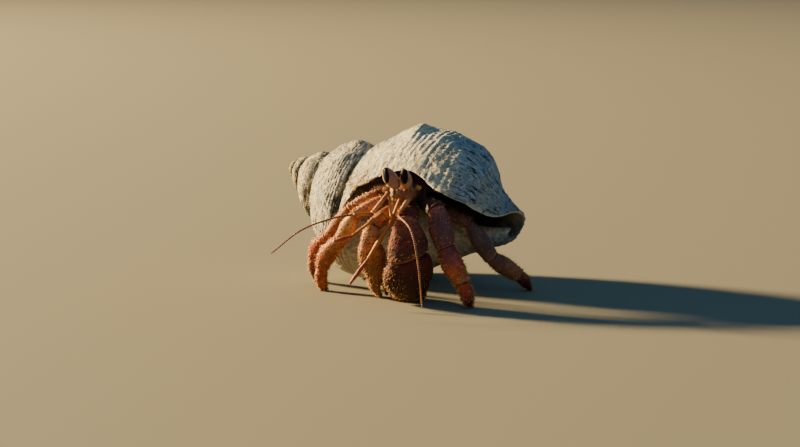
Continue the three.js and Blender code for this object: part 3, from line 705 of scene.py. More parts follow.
def lip_relief(s, turn, flat):
    """How near the lip is, and the height of its layers."""
    near_lip = smooth((turn + LAYERED_TURNS) / 0.03)
    from_inside = np.clip((turn + LAYERED_TURNS) / LAYERED_TURNS, 0, 1)
    beat = from_inside * LIP_LAYERS + 0.5 * clouds(flat, 5.0, 39, 2)
    frayed = (0.4 + 0.3 * bump(s, 0.35, 0.2)) * (0.3 + clouds(flat, 3.0, 41, 2))
    return near_lip, near_lip * frayed * (beat - np.floor(beat)) ** 1.5


print("the lip's layers reach back", round(LAYERED_TURNS * 360), "degrees")

# %% [markdown]
# Small borers and grinding sand left pits of two sizes, the larger drawn out across the
# whorl and the smaller along it. Wear and crusts left lumps and shallow dents, most of
# all on the old whorls. Pits are thickest on the side turned away from the lamp and in a
# band by the seam.

# %% Pits, lumps and dents
def shell_pits(flat, place_of, scour_and_shade):
    """How deep a place lies in a bored hole, from 0 to 1."""
    far, lot = grains(stretched(flat, across=0.45), 0.95, 51)
    pit = smooth((0.36 - far) / 0.20) * (lot < 0.5 * scour_and_shade)
    small_far, small_lot = grains(stretched(flat, onward=0.5), 0.62, 57)
    small = 0.85 * smooth((0.25 - small_far) / 0.12) * (small_lot < 0.42 * scour_and_shade)
    return np.maximum(pit, small) * smooth((clouds(place_of, 3.0, 61) - 0.34) / 0.2)


def shell_lumps(turn, place_of):
    old = smooth((-0.9 - turn) / 0.2)
    fine = clouds(place_of, 1.1, 73, 3) - 0.5
    return 0.60 * (clouds(place_of, 4.0, 71) - 0.5) + (0.20 + 0.55 * old) * fine


def shell_dents(turn, flat):
    """Shallow hollows near the lip, from 0 to 1."""
    patch = clouds(stretched(flat, onward=0.5), 4.2, 79, 2)
    return smooth((patch - 0.58) / 0.1) * smooth((0.1 - turn) / 0.1)


print("wear ready: pits, lumps and dents")

# %% [markdown]
# The finish reads masks that follow the same layers. The side turned away from the lamp
# is painted slate grey, partly as algae stain and partly as painted shade, and its lip is
# less creamy there as painted shade. The spire and the lip are creamy, and the seams keep
# a golden film.

# %% Stains, painted shade and films
def shell_stain_and_shade(lee, band, streak):
    # Painted shade and stain: slate on the side turned away from the lamp, with stain in the band by the
    # seam.
    stain = np.clip(0.12 + 0.80 * lee + 1.5 * (streak - 0.5), 0, 1)
    return np.maximum(stain, np.clip(band * (0.35 + 1.2 * (streak - 0.35)), 0, 0.9))


def shell_warmth(turn, place_of, lee, spire):
    drift = 1.4 * (clouds(place_of, 5.0, 89) - 0.5)
    # The lip is less creamy on the side turned away from the lamp, as painted shade.
    at_lip = 1.1 * smooth((turn + 0.05) / 0.05) * (1 - 0.8 * lee)
    return np.clip(0.30 + 0.35 * spire + drift + at_lip, 0, 1)


def golden_film(s, t, flat, place_of, spire, near_lip):
    seams = (bump(s, 0.0, 0.10) + bump(s, 1.0, 0.16)) * (t < -0.9)
    seams = seams * smooth((clouds(place_of, 1.2, 91) - 0.45) / 0.2)
    frill = near_lip * smooth((0.7 - s) / 0.2) * smooth((clouds(flat, 1.8, 93) - 0.4) / 0.2)
    return np.clip(np.maximum(seams * (0.35 + 0.65 * spire), 0.6 * frill), 0, 1)


print("stain in the open, off the seam:", shell_stain_and_shade(0.0, 0.0, 0.5))

# %% [markdown]
# All layers are added up here. The relief shrinks with the whorls towards the apex, and
# fades out at the seams, so that neighbouring whorls still meet. The sum is sunk a little,
# so that it lies as much below the plain spiral as above it.

# %% Shell relief
# The side of the shell turned away from the lamp, which gets painted shade and most pits.
SHADED_SIDE, SHADED_FROM_MM, SHADED_SPREAD_MM = np.array([0.9, -0.1, -0.1]), -2.0, 10.0
SIZE_POWER = 0.6
RELIEF_SINK = 0.26


def seam_fade(s, t):
    """The share of the relief that is kept, which is none at the seams."""
    open_base = smooth((t + 1.0) / 0.07)
    lower = 1 - (1 - open_base) * smooth((s - 0.94) / 0.06)
    return smooth(s / 0.06) * np.where(s < 1, lower, open_base)


def shell_relief(s, t):
    """Height over the plain spiral, in millimetres, and the masks that go with it."""
    place_of, turn = shell_surface(s, t), shell_turn(s, t)
    flat = np.stack([s * ACROSS_MM, turn * ROUND_MM, 0 * s], -1)
    size = RADIUS_GROWTH ** (SIZE_POWER * np.clip(turn, -WHORL_TURNS, 0))
    lee = smooth((place_of @ SHADED_SIDE - SHADED_FROM_MM) / SHADED_SPREAD_MM) * smooth((t + 1.0) / 0.2)
    band = bump(s, 0.9, 0.2) * (t < -0.95)
    # Pits gather on the side turned away from the lamp and in the band by the seam, and are painted darker
    # there; on the shaded side that is painted shade.
    scour_and_shade = np.clip(0.30 + 0.75 * lee + 0.7 * band, 0, 1)

    cords, valley_shade = cord_relief(s, turn, flat, place_of)
    near_lip, layers = lip_relief(s, turn, flat)
    lip_groove = bump(turn, GROOVE_TURN, 0.008) * smooth((s - 0.72) / 0.12)
    pit = shell_pits(flat, place_of, scour_and_shade)
    dent = shell_dents(turn, flat)
    lump = shell_lumps(turn, place_of) - 0.08 * dent * (1 - lee)
    height = (cords + growth_relief(s, turn, flat)) * size + layers + lump * (0.3 + 0.7 * size)
    height = height - RELIEF_SINK * size - (0.10 + 0.14 * size) * pit - GROOVE_DEPTH * lip_groove

    spire = smooth((-0.95 - turn) / 1.2)
    streak = clouds(stretched(flat, onward=0.3), 2.4, 83)
    # Painted shade at the seam, in the groove behind the lip, in the valleys between cords and in dents; the
    # pits are real holes painted dark as shade, and the band's streaks are stain.
    seam_and_groove_shade = 0.35 * smooth((0.025 - s) / 0.025) + 0.9 * lip_groove
    band_dark = 0.9 * band * smooth((streak - 0.42) / 0.16)
    wear_and_hollow_shade = pit * (0.35 + 0.5 * scour_and_shade) + 0.18 * dent + 0.34 * valley_shade * (1 - 0.6 * lee)
    masks = dict(pit=np.clip(seam_and_groove_shade + band_dark + wear_and_hollow_shade, 0, 1), lee=lee, inside=0.0,
                 # Slate stain and painted shade, strongest on the side turned away from the lamp.
                 stain=shell_stain_and_shade(lee, band, streak) * (1 - 0.7 * spire),
                 warm=shell_warmth(turn, place_of, lee, spire) * (1 - pit),
                 # Pale cord tops, partly wear and partly painted highlight, fainter on the shaded side.
                 ridge=np.clip(cords * 3.0 - 0.2, 0, 1) * 0.75 * (1 - 0.5 * lee),
                 gold=golden_film(s, t, flat, place_of, spire, near_lip),
                 across=flat[..., 0], onward=flat[..., 1])
    return height * seam_fade(s, t), masks


def carved_shell(s, t):
    """Points of the shell with its relief, and the masks that go with them."""
    s, t = np.broadcast_arrays(s, t)
    height, masks = shell_relief(s, t)
    return shell_surface(s, t) + height[..., None] * shell_normal(s, t), masks


print("relief near the knobs:", shell_relief(np.array([0.5]), np.array([-0.2]))[0].round(3), "mm")

# %% [markdown]
# The mesh follows the solid's plan: a spiral wall whose lower edge is shared with the
# next whorl's upper edge, the base of the last whorl, the pillar that it turns into
# inside the mouth, the hollow's outer wall, and a rounded lip that joins outside and in.
# Each step below adds its points to one sheet, and hands on the edges that the next one
# is sewn to.

# %% Outside of the shell
PER_TURN, WHORL_STEPS, BASE_STEPS, CORNER_STEPS = 500, 120, 90, 12
whorl_s = np.linspace(0, 1, WHORL_STEPS + 1)
base_s = np.concatenate([np.linspace(1, 1 + MOUTH_CORNER, CORNER_STEPS),
                         np.linspace(1 + MOUTH_CORNER, 2, BASE_STEPS)[1:]])
whorl_t = np.linspace(-WHORL_TURNS, 0, int(round(WHORL_TURNS * PER_TURN)) + 1)


def add_outside(sheet):
    """The whorls and the base, as grids of indices that run from the apex to the lip."""
    points, masks = carved_shell(whorl_s[None, :-1], whorl_t[:, None])
    own = sheet.add(points, **masks)
    points, masks = carved_shell(base_s[None, :], whorl_t[-PER_TURN - 1:, None])
    base = sheet.add(points, **masks)
    base[0, 0] = own[-1, 0]
    edge = np.concatenate([own[PER_TURN:, 0], base[1:, 0]])
    whorls = np.concatenate([own, edge[:, None]], axis=1)
    sheet.sew(whorls)
    sheet.sew(base)
    ring = own[:PER_TURN + 1, 0]
    apex = (sheet.placed()[ring].mean(0) + SHELL_APEX) / 2
    hub = sheet.add(apex[None], warm=0.9, inside=0.0)[0]
    sheet.fan(hub, np.concatenate([whorls[0][:0:-1], ring]))
    return whorls, base


print("the spiral is cut into", len(whorl_t), "rows")

# %% Inside of the mouth
DEPTH = int(round(MOUTH_DEPTH_TURNS * PER_TURN))
deep_t = np.linspace(0, -MOUTH_DEPTH_TURNS, DEPTH + 1)
outer_s = np.concatenate([whorl_s[1:], base_s[1:]])


def add_pillar(sheet, base):
    """The inner wall: the outside of the whorl before, seen inside the mouth."""
    shelf = smooth((base_s[None, 1:] - 1.3) / 0.2) * smooth((deep_t[1:, None] + 0.3) / 0.15)
    points = shell_surface(base_s[None, 1:], deep_t[1:, None] - 1)
    pillar = sheet.add(points, inside=1 - 0.85 * shelf, warm=0.5 * shelf)
    pillar = np.concatenate([base[:1, 1:], pillar])
    sheet.sew(pillar[::-1])
    return pillar


def add_outer_wall(sheet, pillar):
    """The outside moved in by the wall, and drawn to the pillar where the two meet."""
    thin = WALL - (WALL - LIP_WALL) * smooth((deep_t[:, None] + 0.08) / 0.08)
    plain = shell_surface(outer_s[None], deep_t[:, None], thin)
    corner = sheet.placed()[pillar[:, 0]]
    pull = (1 - smooth(outer_s / WALL_SWELL))[None, :, None]
    depth_in = 1 - 0.8 * smooth((deep_t[:, None] + 0.03) / 0.03)
    outer = sheet.add(plain * (1 - pull) + corner[:, None] * pull, inside=depth_in, warm=0.6)
    outer = np.concatenate([pillar[:, :1], outer], axis=1)
    sheet.sew(outer)
    return outer


print("the mouth is", DEPTH, "rows deep")

# %% Lip and back of the hollow
# Rows round the lip: the share of the way from outside to inside, and how far it bulges.
LIP_ROUNDING = [(0.2, 0.16), (0.5, 0.24), (0.8, 0.16)]


def add_lip(sheet, whorls, base, outer):
    lip = np.concatenate([whorls[-1], base[-1][1:]])
    outside, inside = sheet.placed()[lip[1:]], sheet.placed()[outer[0, 1:]]
    forward = unit(shell_surface(outer_s, SMALL_STEP) - shell_surface(outer_s, -SMALL_STEP))
    rows = [lip[1:]]
    for share, bulge in LIP_ROUNDING:
        row = outside + (inside - outside) * share + forward * bulge * smooth(outer_s / 0.1)[:, None]
        rows.append(sheet.add(row, warm=0.95, ridge=0.5, inside=0.0))
    rows.append(outer[0, 1:])
    sheet.sew(np.stack(rows))
    for a, b in zip(rows[:-1], rows[1:]):
        sheet.fan(lip[0], [a[0], b[0]])


def fill(sheet, ring):
    """Closes a ring with triangles to a point in its middle."""
    sheet.fan(sheet.add(sheet.placed()[ring].mean(0)[None], inside=1.0)[0], ring)


def close_hollow(sheet, base, pillar, outer):
    """The hollow's back wall, the canal's rim and the tip of the pillar."""
    fill(sheet, np.concatenate([pillar[-1][::-1], outer[-1][1:], pillar[-1][-1:]]))
    rim_outside, rim_inside = base[::-1, -1], outer[:, -1]
    sheet.sew(np.stack([rim_outside[:DEPTH + 1], rim_inside]))
    fill(sheet, np.concatenate([rim_outside[DEPTH:], pillar[1:, -1], rim_inside[-1:],
                                rim_outside[DEPTH:DEPTH + 1]]))


def build_shell():
    """The outside, pillar, inner wall and lip as one closed skin."""
    sheet = Patches()
    whorls, base = add_outside(sheet)
    pillar = add_pillar(sheet, base)
    outer = add_outer_wall(sheet, pillar)
    add_lip(sheet, whorls, base, outer)
    close_hollow(sheet, base, pillar, outer)
    return sheet


make_piece("whelk_shell", on_floor(build_shell()), worn_shell, ["shell"])
print("shell:", tally["whelk_shell"], "triangles")

# %% [markdown]
# ## Legs and claws
# A crab's leg is a row of stiff tubes. Each tube ends on a slanting plane that halves the
# bend of the joint, and is rounded there, so that the next one can swing past it. The
# same joint places, lengths, headings and half widths as in the solids make each one,
# with many more points, a squarer section and rounded ends.

# %% Segment form
JOINT_GAP = 0.07
FRONTWARD, SIDEWAYS = np.array([0, -1, 0.15]), np.array([1.0, 0, 0])
NO_BOW = (0, 0, 0)


def slide(points, origin, normal, line, gap):
    """Moves points along a line until they lie on a plane, or a gap beyond it."""
    away = (points - origin) @ normal / (line @ normal)
    return points + line * (gap - away)[..., None]


def segment_form(start, end, start_normal, end_normal, widths, depths, face, bow,
                 sides=84, rings=90, square=2.3, ends=(0.24, 0.13)):
    """A tube between two joint planes, as a grid of points with the measures of its plan."""
    line = unit(end - start)
    deep = unit(face - line * (face @ line))
    wide = np.cross(deep, line)
    even = (np.arange(rings) + 1) / (rings + 1)
    u = (0.5 * even + 0.5 * (0.5 - 0.5 * np.cos(np.pi * even)))[:, None]
    angle = np.linspace(0, 2 * np.pi, sides, endpoint=False)[None]
    c, s = np.cos(angle), np.sin(angle)
    x = np.sign(c) * np.abs(c) ** (2 / square)
    y = np.sign(s) * np.abs(s) ** (2 / square)
    w, d = along(widths, u[:, 0])[:, None], along(depths, u[:, 0])[:, None]
    rim = wide * (w * x)[..., None] + deep * (d * y)[..., None] + bow * (4 * u * (1 - u))[..., None]
    near = slide(rim + start, start, start_normal, line, JOINT_GAP)
    far = slide(rim + end, end, end_normal, line, -JOINT_GAP)
    points = near * (1 - u[..., None]) + far * u[..., None]
    centre = points.mean(1, keepdims=True)
    length = np.linalg.norm(end - start)
    girth = 0.5 * (w + d)
    a = np.clip(u * length / (girth * ends[0]), 0, 1)
    b = np.clip((1 - u) * length / (girth * ends[1]), 0, 1)
    dome = np.sqrt(1 - (1 - a) ** 2) * np.sqrt(1 - (1 - b) ** 2)
    points = centre + (points - centre) * dome[..., None]
    u_grid, angle_grid = np.broadcast_arrays(u, angle)
    return dict(points=points, u=u_grid, angle=angle_grid, start=start + line * JOINT_GAP,
                end=end - line * JOINT_GAP, line=line, wide=wide, deep=deep, length=length)


def grid_normals(points):
    onward = np.gradient(points, axis=0)
    around = np.roll(points, -1, axis=1) - np.roll(points, 1, axis=1)
    normal = unit(np.cross(onward, around))
    outward = np.sum(normal * (points - points.mean(1, keepdims=True)), -1, keepdims=True)
    return normal * np.where(outward < 0, -1, 1)


print("segments have rounded ends, and a joint gap of", 2 * JOINT_GAP, "mm")

# %% [markdown]
# The skin is set with granules like a cobbled road, higher along the edges and towards a
# segment's tip. Each one is a small hill in the mesh, with its own random height. Dark
# dots mark pores, and a pale rim goes round the far end. The tint runs from the root of a
# segment to its tip, and is darkened as painted shade where the skin faces down.

# %% Skin relief and tint
HILL_RADIUS, PORE_MM, PORE_DEPTH = 0.46, 0.8, 0.05


def hills(points, size, radius, share, seed):
    """Round hills on a share of the grains, and the lot that each grain drew."""
    far, lot = grains(points, size, seed)
    return np.sqrt(np.clip(1 - (far / radius) ** 2, 0, 1)) * (lot < share), lot


def granulate(points, normals, edge, reach, spec):
    """Moves points out along their normals and returns them with the skin's masks."""
    size, height, share = spec["grain"]
    hill, lot = hills(points, size, HILL_RADIUS * size, share, 101)
    fine, fine_lot = hills(points, 0.5 * size, 0.5 * HILL_RADIUS * size, share, 103)
    strength = spec["bare"] + 1.0 * edge + 0.45 * reach
    rise = 1.5 * height * strength * (hill * (0.6 + lot) + 0.45 * fine)
    sway = 0.16 * (clouds(points, 1.8, 107, 2) - 0.5)
    dot_far, dot_lot = grains(points, PORE_MM, 109)
    dot = smooth((0.26 - dot_far) / 0.08) * (dot_lot < spec["dots"])
    rise = rise - PORE_DEPTH * dot
    crown = smooth((hill - 0.55) / 0.3) * (lot > share * (1 - 0.55 * np.clip(strength, 0, 1.2)))
    fine_crown = smooth((fine - 0.6) / 0.3) * (fine_lot < 0.35 * share * strength)
    # Granule tops are paler along the edges; on a fringe facing the lamp that is partly painted highlight.
    paleness = np.clip(spec["pale"] * (0.5 + strength), 0, 0.95)
    granule = np.clip(crown + 0.8 * fine_crown, 0, 1) * paleness
    return points + normals * (rise + sway)[..., None], granule * (1 - dot), dot * 0.85


def tint_for(u, normals, points, spec):
    """The segment's colours from root to tip, and the darker one painted as shade where it faces down."""
    stops = np.array([paint(code) for code in spec["colours"]])
    drift = 0.25 * (clouds(points, 2.0, 113, 2) - 0.5)
    tint = along(stops, np.clip(u + drift, 0, 1))
    # Painted shade: the tint darkens where the skin faces down.
    shade_below = smooth((-(normals @ UP) - 0.1) / 0.7)[..., None] * 0.75
    return np.clip(tint * (1 - shade_below) + paint(spec["under"]) * shade_below, 0.001, 1)


def edge_share(angle, spec):
    """1 along both edges of a segment, or mostly along one edge for a fringed one, which on legs, claws and
    palms is the edge that faces the lamp.
    """
    across, fringe = np.cos(angle), spec["fringe"]
    inner, outer = (1 - fringe) * np.abs(across) ** 3, np.abs(across) ** (3 - 2.2 * fringe)
    return np.where(across > 0, inner, outer)


def dress_form(form, spec):
    points, normals = form["points"], grid_normals(form["points"])
    rim = bump(form["u"], 0.95, 0.035)
    edge = np.maximum(edge_share(form["angle"], spec), 0.7 * rim)
    ends = smooth(form["u"] / 0.10) * smooth((1 - form["u"]) / 0.04)
    reach = smooth(form["u"])
    points, granule, dot = granulate(points, normals, edge * ends, reach * ends, spec)
    points = points + normals * (0.07 * rim * ends)[..., None]
    tint = tint_for(form["u"], normals, points, spec)
    tint = tint * (1 + 0.35 * rim * ends)[..., None]
    return points, normals, tint, granule * ends, dot * ends


print("skin relief ready")

# %% [markdown]
# Stiff bristles grow between the granules, thickest along the edges and at the joints.
# While each segment is made, some of its points are kept as roots. The bristles are built
# from them at the end, as thin tapered spikes. Each root also gets a place on a flat
# plan of all the segments, one tile for each, for the bristles' own texture map.

# %% Bristle roots
TILES_ACROSS, TILE_MARGIN = 8, 0.08
roots = []
rng = np.random.default_rng(20)


def plant(points, normals, line, u, angle, chance, length):
    """Notes one segment's bristle roots, each with its place on the plan."""
    keep = rng.random(u.shape) < chance
    tile = np.array([len(roots) % TILES_ACROSS, len(roots) // TILES_ACROSS])
    flat = np.stack([(angle / (2 * np.pi)) % 1.0, np.clip(u, 0, 1)], -1)[keep]
    uv = (tile + TILE_MARGIN + (1 - 2 * TILE_MARGIN) * flat) / TILES_ACROSS
    roots.append(dict(place=points[keep], normal=normals[keep], line=line, uv=uv, length=length))


print("the plan has room for", TILES_ACROSS ** 2, "segments")

# %% [markdown]
# One table says how each segment looks: its colours from root to tip, the darker colour
# painted as shade below, the size, height and share of its granules, its dots, how pale the
# granules' tops are, and how many bristles it has. A fringe gathers granules and bristles on
# one edge, which on the legs, claws and palms faces the lamp, so that their pale tops there
# are partly painted highlight; `bare` is how much of their height is left between the edges.

# %% Looks of the segments
def look(colours, under="#6b3a28", grain_mm=0.55, rise=0.07, share=0.6, dots=0.25, pale=0.5,
         hair=0.012, hair_mm=0.6, fringe=0.0, bare=0.3):
    return dict(colours=colours.split(), under=under, grain=(grain_mm, rise, share), dots=dots,
                pale=pale, hair=hair, hair_mm=hair_mm, fringe=fringe, bare=bare)


LOOKS = {
    "leg_front_right": dict(
        ischium=look("#7a3c1c #9c5020"),
        merus=look("#a45c24 #c88844 #b06c2c", "#6b3214", rise=0.09, share=0.7, dots=0.5, pale=0.6),
        carpus=look("#b06430 #dcac68 #cc944c #a8582c", "#94541f", rise=0.08, share=0.7, dots=0.9,
                    pale=0.5),
        propodus=look("#b07030 #b06420 #b05810 #b45008", "#84340c", rise=0.12, share=0.8,
                      dots=0.5, pale=0.85, hair=0.04),
        dactylus=look("#a83c04 #b44c04 #b86814 #4a1c08", "#8c3804", rise=0.11, share=0.8,
                      pale=0.85, hair=0.04)),
    "leg_rear_right": dict(
        ischium=look("#743414 #84401c"),
        merus=look("#8c4c18 #b07030 #a05c20", "#6b3014", rise=0.09, share=0.7, dots=0.5, pale=0.6),
        carpus=look("#98541c #ac6c2c #ac6420", "#743c18", rise=0.08, share=0.7, dots=0.6, pale=0.5),
        propodus=look("#a4500c #ac4808 #a83c04", "#782c0a", rise=0.12, share=0.8, dots=0.4,
                      pale=0.7, hair=0.04),
        dactylus=look("#983408 #882c0c #702008 #30100a", "#60200a", rise=0.10, share=0.7, hair=0.04)),
    "leg_front_left": dict(
        # Painted shade: this leg's ischium and merus lie in the dark under the body, so they are tinted near
        # black.
        ischium=look("#1c100c #241410", "#140a08", pale=0.0, hair=0.0),
        merus=look("#2c1812 #4a2620 #5c3024", "#1a0e0a", dots=0.5, pale=0.2),
        carpus=look("#b05c40 #80382a #6c3022 #783420", "#341810", grain_mm=0.5, rise=0.08,
                    pale=0.4, dots=0.9, fringe=0.6),
        propodus=look("#6c2010 #90300e #bc4c0c #b0641c", "#48140a", rise=0.11, share=0.7,
                      pale=0.45, dots=0.5, hair=0.04),
        dactylus=look("#c8400a #b43408 #94240a #30100a", "#50180a", rise=0.11, share=0.7,
                      pale=0.7, hair=0.04)),
    "leg_rear_left": dict(
        # Painted shade: this leg's ischium and merus lie in the dark under the body, so they are tinted near
        # black.
        ischium=look("#1c120e #241610", "#140c08", pale=0.0, hair=0.0),
        merus=look("#2c1c18 #54382c #6c4a3c", "#241610", pale=0.2),
        carpus=look("#5e4240 #64484a #5e4446 #84584a", "#44302a", rise=0.04, pale=0.25,
                    fringe=0.4, dots=0.1, bare=0.1),
        propodus=look("#7a4430 #844830 #ac683c #8c4a2c", "#4c281a", rise=0.08, pale=0.4, hair=0.04),
        dactylus=look("#8c3c1c #802c14 #681c10 #280e0a", "#441c10", rise=0.08, pale=0.4, hair=0.04)),
    "claw_left": dict(
        ischium=look("#3a1c14 #4a261c", "#1e100c"),
        merus=look("#602a1c #7c3626 #702e20", "#2e140e", pale=0.3, dots=0.5),
        carpus=look("#b8683c #8c442c #662c1c #60301c", "#34160e", grain_mm=0.6, rise=0.10,
                    dots=0.8, pale=0.6, hair=0.018, fringe=0.85, bare=0.1),
        palm=look("#581e14 #44160e #38120a #603018", "#30120c", rise=0.13, dots=0.12,
                  pale=0.8, hair=0.010, hair_mm=0.65, fringe=0.8, bare=0.0),
        finger=look("#6c3820 #8c4c20 #bc8c50 #3c1c10", "#3c1c10", rise=0.10, fringe=0.6)),
    "claw_right": dict(
        ischium=look("#743a1c #84441e", "#3c200e"),
        merus=look("#84441e #a86834 #9c5824", "#4a2810", rise=0.08, dots=0.5),
        carpus=look("#a86034 #c08050 #b8743c", "#6a3c1c", rise=0.08, dots=0.9, pale=0.5),
        palm=look("#b46c48 #b87038 #a0601c #a8681c", "#6c3c14", grain_mm=0.5, rise=0.10, dots=0.9,
                  pale=0.65, hair=0.02, fringe=0.6),
        finger=look("#a06420 #b07424 #c08438 #5c2c10", "#6c3c14", rise=0.06)),
}
print("looks for", sum(len(v) for v in LOOKS.values()), "segments")

# %% [markdown]
# A limb is a chain of segments. The plane of each joint halves the bend between two of
# them. A crease is noted at every joint, for the soft skin that is made later.

# %% Limb builder
creases = []


def segment(name, length, turn, slope, widths, depths, bow=NO_BOW, slant=(0, 0, 0)):
    """One tube of a limb, in millimetres and degrees. Its slant tips the next joint's plane."""
    return dict(name=name, length=length, line=heading(turn, slope), widths=widths,
                depths=depths, bow=np.array(bow, float), slant=np.array(slant, float))


def limb_forms(root, segments, face, **shape):
    """The forms of a chain of segments. The joints between them are noted as creases."""
    joints, planes = [np.array(root, float)], [segments[0]["line"]]
    for part in segments:
        joints.append(joints[-1] + part["line"] * part["length"])
    for before, after in zip(segments[:-1], segments[1:]):
        planes.append(unit(unit(before["line"] + after["line"]) + before["slant"]))
        girth = [min(before[key][-1], after[key][0]) for key in ("widths", "depths")]
        creases.append((joints[len(planes) - 1], planes[-1], *girth, face))
    planes.append(segments[-1]["line"])
    return {part["name"]: segment_form(joints[i], joints[i + 1], planes[i], planes[i + 1], part["widths"],
                                       part["depths"], face, part["bow"], **shape)
            for i, part in enumerate(segments)}


def dressed_tube(form, spec):
    """The skin of one segment, with its bristles' roots planted."""
    points, normals, tint, granule, dot = dress_form(form, spec)
    points = clear_floor(points)
    ends = clear_floor(np.array([form["start"], form["end"]]))
    patches = Patches()
    patches.tube(points, ends, dict(granule=0.0, dot=0.0), tint=tint, granule=granule, dot=dot)
    edge, rim = edge_share(form["angle"], spec), bump(form["u"], 0.95, 0.05)
    chance = spec["hair"] * (0.1 + 1.4 * edge + 1.5 * rim) * smooth(form["u"] / 0.1)
    plant(points, normals, form["line"], form["u"], form["angle"], chance, spec["hair_mm"])
    return patches


def dress_limb(prefix, forms, looks, material):
    """One piece for each segment."""
    for name, form in forms.items():
        patches = dressed_tube(form, looks[name])
        make_piece(prefix + name + "_skin", patches, material, [prefix + name])


print("limb builder ready")

# %% [markdown]
# The walking legs. Every line is a segment: its length, heading and slope, its half
# widths and half depths from root to tip, and how far its middle bows out.

# %% Walking legs
LEGS = {
    "leg_front_right": ((-6.7, -2.2, 22.0), [
        segment("ischium", 3.2, -141, 12, [0.9, 1.1, 1.05], [0.8, 0.95, 0.9]),
        segment("merus", 6.5, -170, -29, [1.1, 1.35, 1.2], [0.9, 1.2, 1.05]),
        segment("carpus", 7.5, 138, -54, [1.15, 1.85, 1.5], [1.0, 1.4, 1.2]),
        segment("propodus", 11.0, 125, -44, [1.45, 1.95, 1.3], [1.2, 1.55, 1.1], (-0.7, 0, 0.4)),
        segment("dactylus", 7.0, 75, -67, [1.2, 1.2, 0.4], [1.05, 1.05, 0.4], (-0.7, 0, 0))]),
    "leg_rear_right": ((-6.9, 1.2, 22.9), [
        segment("ischium", 3.6, -146, 17, [0.9, 1.05, 1.0], [0.8, 0.9, 0.85]),
        segment("merus", 7.5, 171, -30, [1.05, 1.3, 1.15], [0.85, 1.1, 1.0]),
        segment("carpus", 10.0, 135, -45, [1.1, 1.5, 1.25], [0.9, 1.25, 1.1]),
        segment("propodus", 10.2, 117, -39, [1.2, 1.75, 1.25], [1.1, 1.45, 1.1], (-0.6, 0, 0.4)),
        segment("dactylus", 9.4, 85, -47, [1.15, 1.1, 0.4], [1.0, 1.0, 0.4], (-0.6, 0, 0.4))]),
    "leg_front_left": ((-0.6, -3.0, 21.9), [
        segment("ischium", 3.4, -63, 8, [1.1, 1.4, 1.35], [0.9, 1.2, 1.15]),
        segment("merus", 7.0, -69, -5, [1.4, 1.8, 1.9], [1.2, 1.5, 1.5]),
        segment("carpus", 8.5, -50, -68, [1.8, 2.7, 2.1], [1.4, 2.0, 1.7]),
        segment("propodus", 8.8, -15, -64, [2.05, 2.4, 1.65], [1.6, 1.9, 1.4], (-0.3, 0, 0)),
        segment("dactylus", 6.3, 26, -73, [1.5, 1.45, 0.45], [1.3, 1.3, 0.45], (0.3, 0, 0))]),
    "leg_rear_left": ((-0.3, 1.3, 22.4), [
        segment("ischium", 2.9, -22, -14, [1.0, 1.2, 1.15], [0.9, 1.05, 1.0]),
        segment("merus", 10.3, -24, -25, [1.1, 1.5, 1.35], [1.0, 1.2, 1.1]),
        segment("carpus", 10.9, 36, -51, [1.3, 2.1, 1.7], [1.1, 1.6, 1.35]),
        segment("propodus", 8.2, 22, -34, [1.6, 2.0, 1.5], [1.3, 1.6, 1.3]),
        segment("dactylus", 6.5, 51, -41, [1.35, 1.25, 0.45], [1.2, 1.15, 0.45], (0.2, 0, 0.4))]),
}
for leg_name, (leg_root, leg_segments) in LEGS.items():
    leg_forms = limb_forms(leg_root, leg_segments, FRONTWARD)
    dress_limb(leg_name + "_", leg_forms, LOOKS[leg_name], leg_skin)
print("walking legs built,", len(creases), "joints so far")

# %% [markdown]
# A claw's hand, the palm, carries a fixed finger that is one with it, and a moving finger
# beside it. Two tubes that cross would leave a hard crease where they meet. So the palm
# and its finger are joined by a voxel remesh, which melts them into one skin, as one
# would with clay, and the granules are raised on the result.

# %% Fuse forms into one skin
MELT_EASE_STEPS = 6


def fuse(forms, voxel_mm):
    """Melts closed tubes into one mesh, and returns its points, normals and faces."""
    patches = Patches()
    for form in forms:
        patches.tube(form["points"], (form["start"], form["end"]))
    points, faces, _ = patches.arrays()
    if signed_volume(points, faces) < 0:
        faces = [f[::-1] for f in faces]
    mesh = bpy.data.meshes.new("clay")
    mesh.from_pydata(points.tolist(), [], faces)
    clay = bpy.data.objects.new("clay", mesh)
    bpy.context.scene.collection.objects.link(clay)
    melt = clay.modifiers.new("melt", "REMESH")
    melt.mode, melt.voxel_size = "VOXEL", voxel_mm
    ease = clay.modifiers.new("ease", "SMOOTH")
    ease.iterations, ease.factor = MELT_EASE_STEPS, 0.5
    shaped = clay.evaluated_get(bpy.context.evaluated_depsgraph_get()).to_mesh()
    points, normals = np.zeros((2, len(shaped.vertices) * 3))
    shaped.vertices.foreach_get("co", points)
    shaped.vertices.foreach_get("normal", normals)
    faces = [list(p.vertices) for p in shaped.polygons]
    bpy.data.objects.remove(clay)
    return points.reshape(-1, 3), normals.reshape(-1, 3), faces


def finger_form(start, length, turn, slope, widths, depths, bow):
    """A bent, pointed finger."""
    line = heading(turn, slope)
    start = np.array(start, float)
    return segment_form(start, start + line * length, line, line, widths, depths, UP,
                        np.array(bow, float), sides=40, rings=40, ends=(0.4, 0.8))


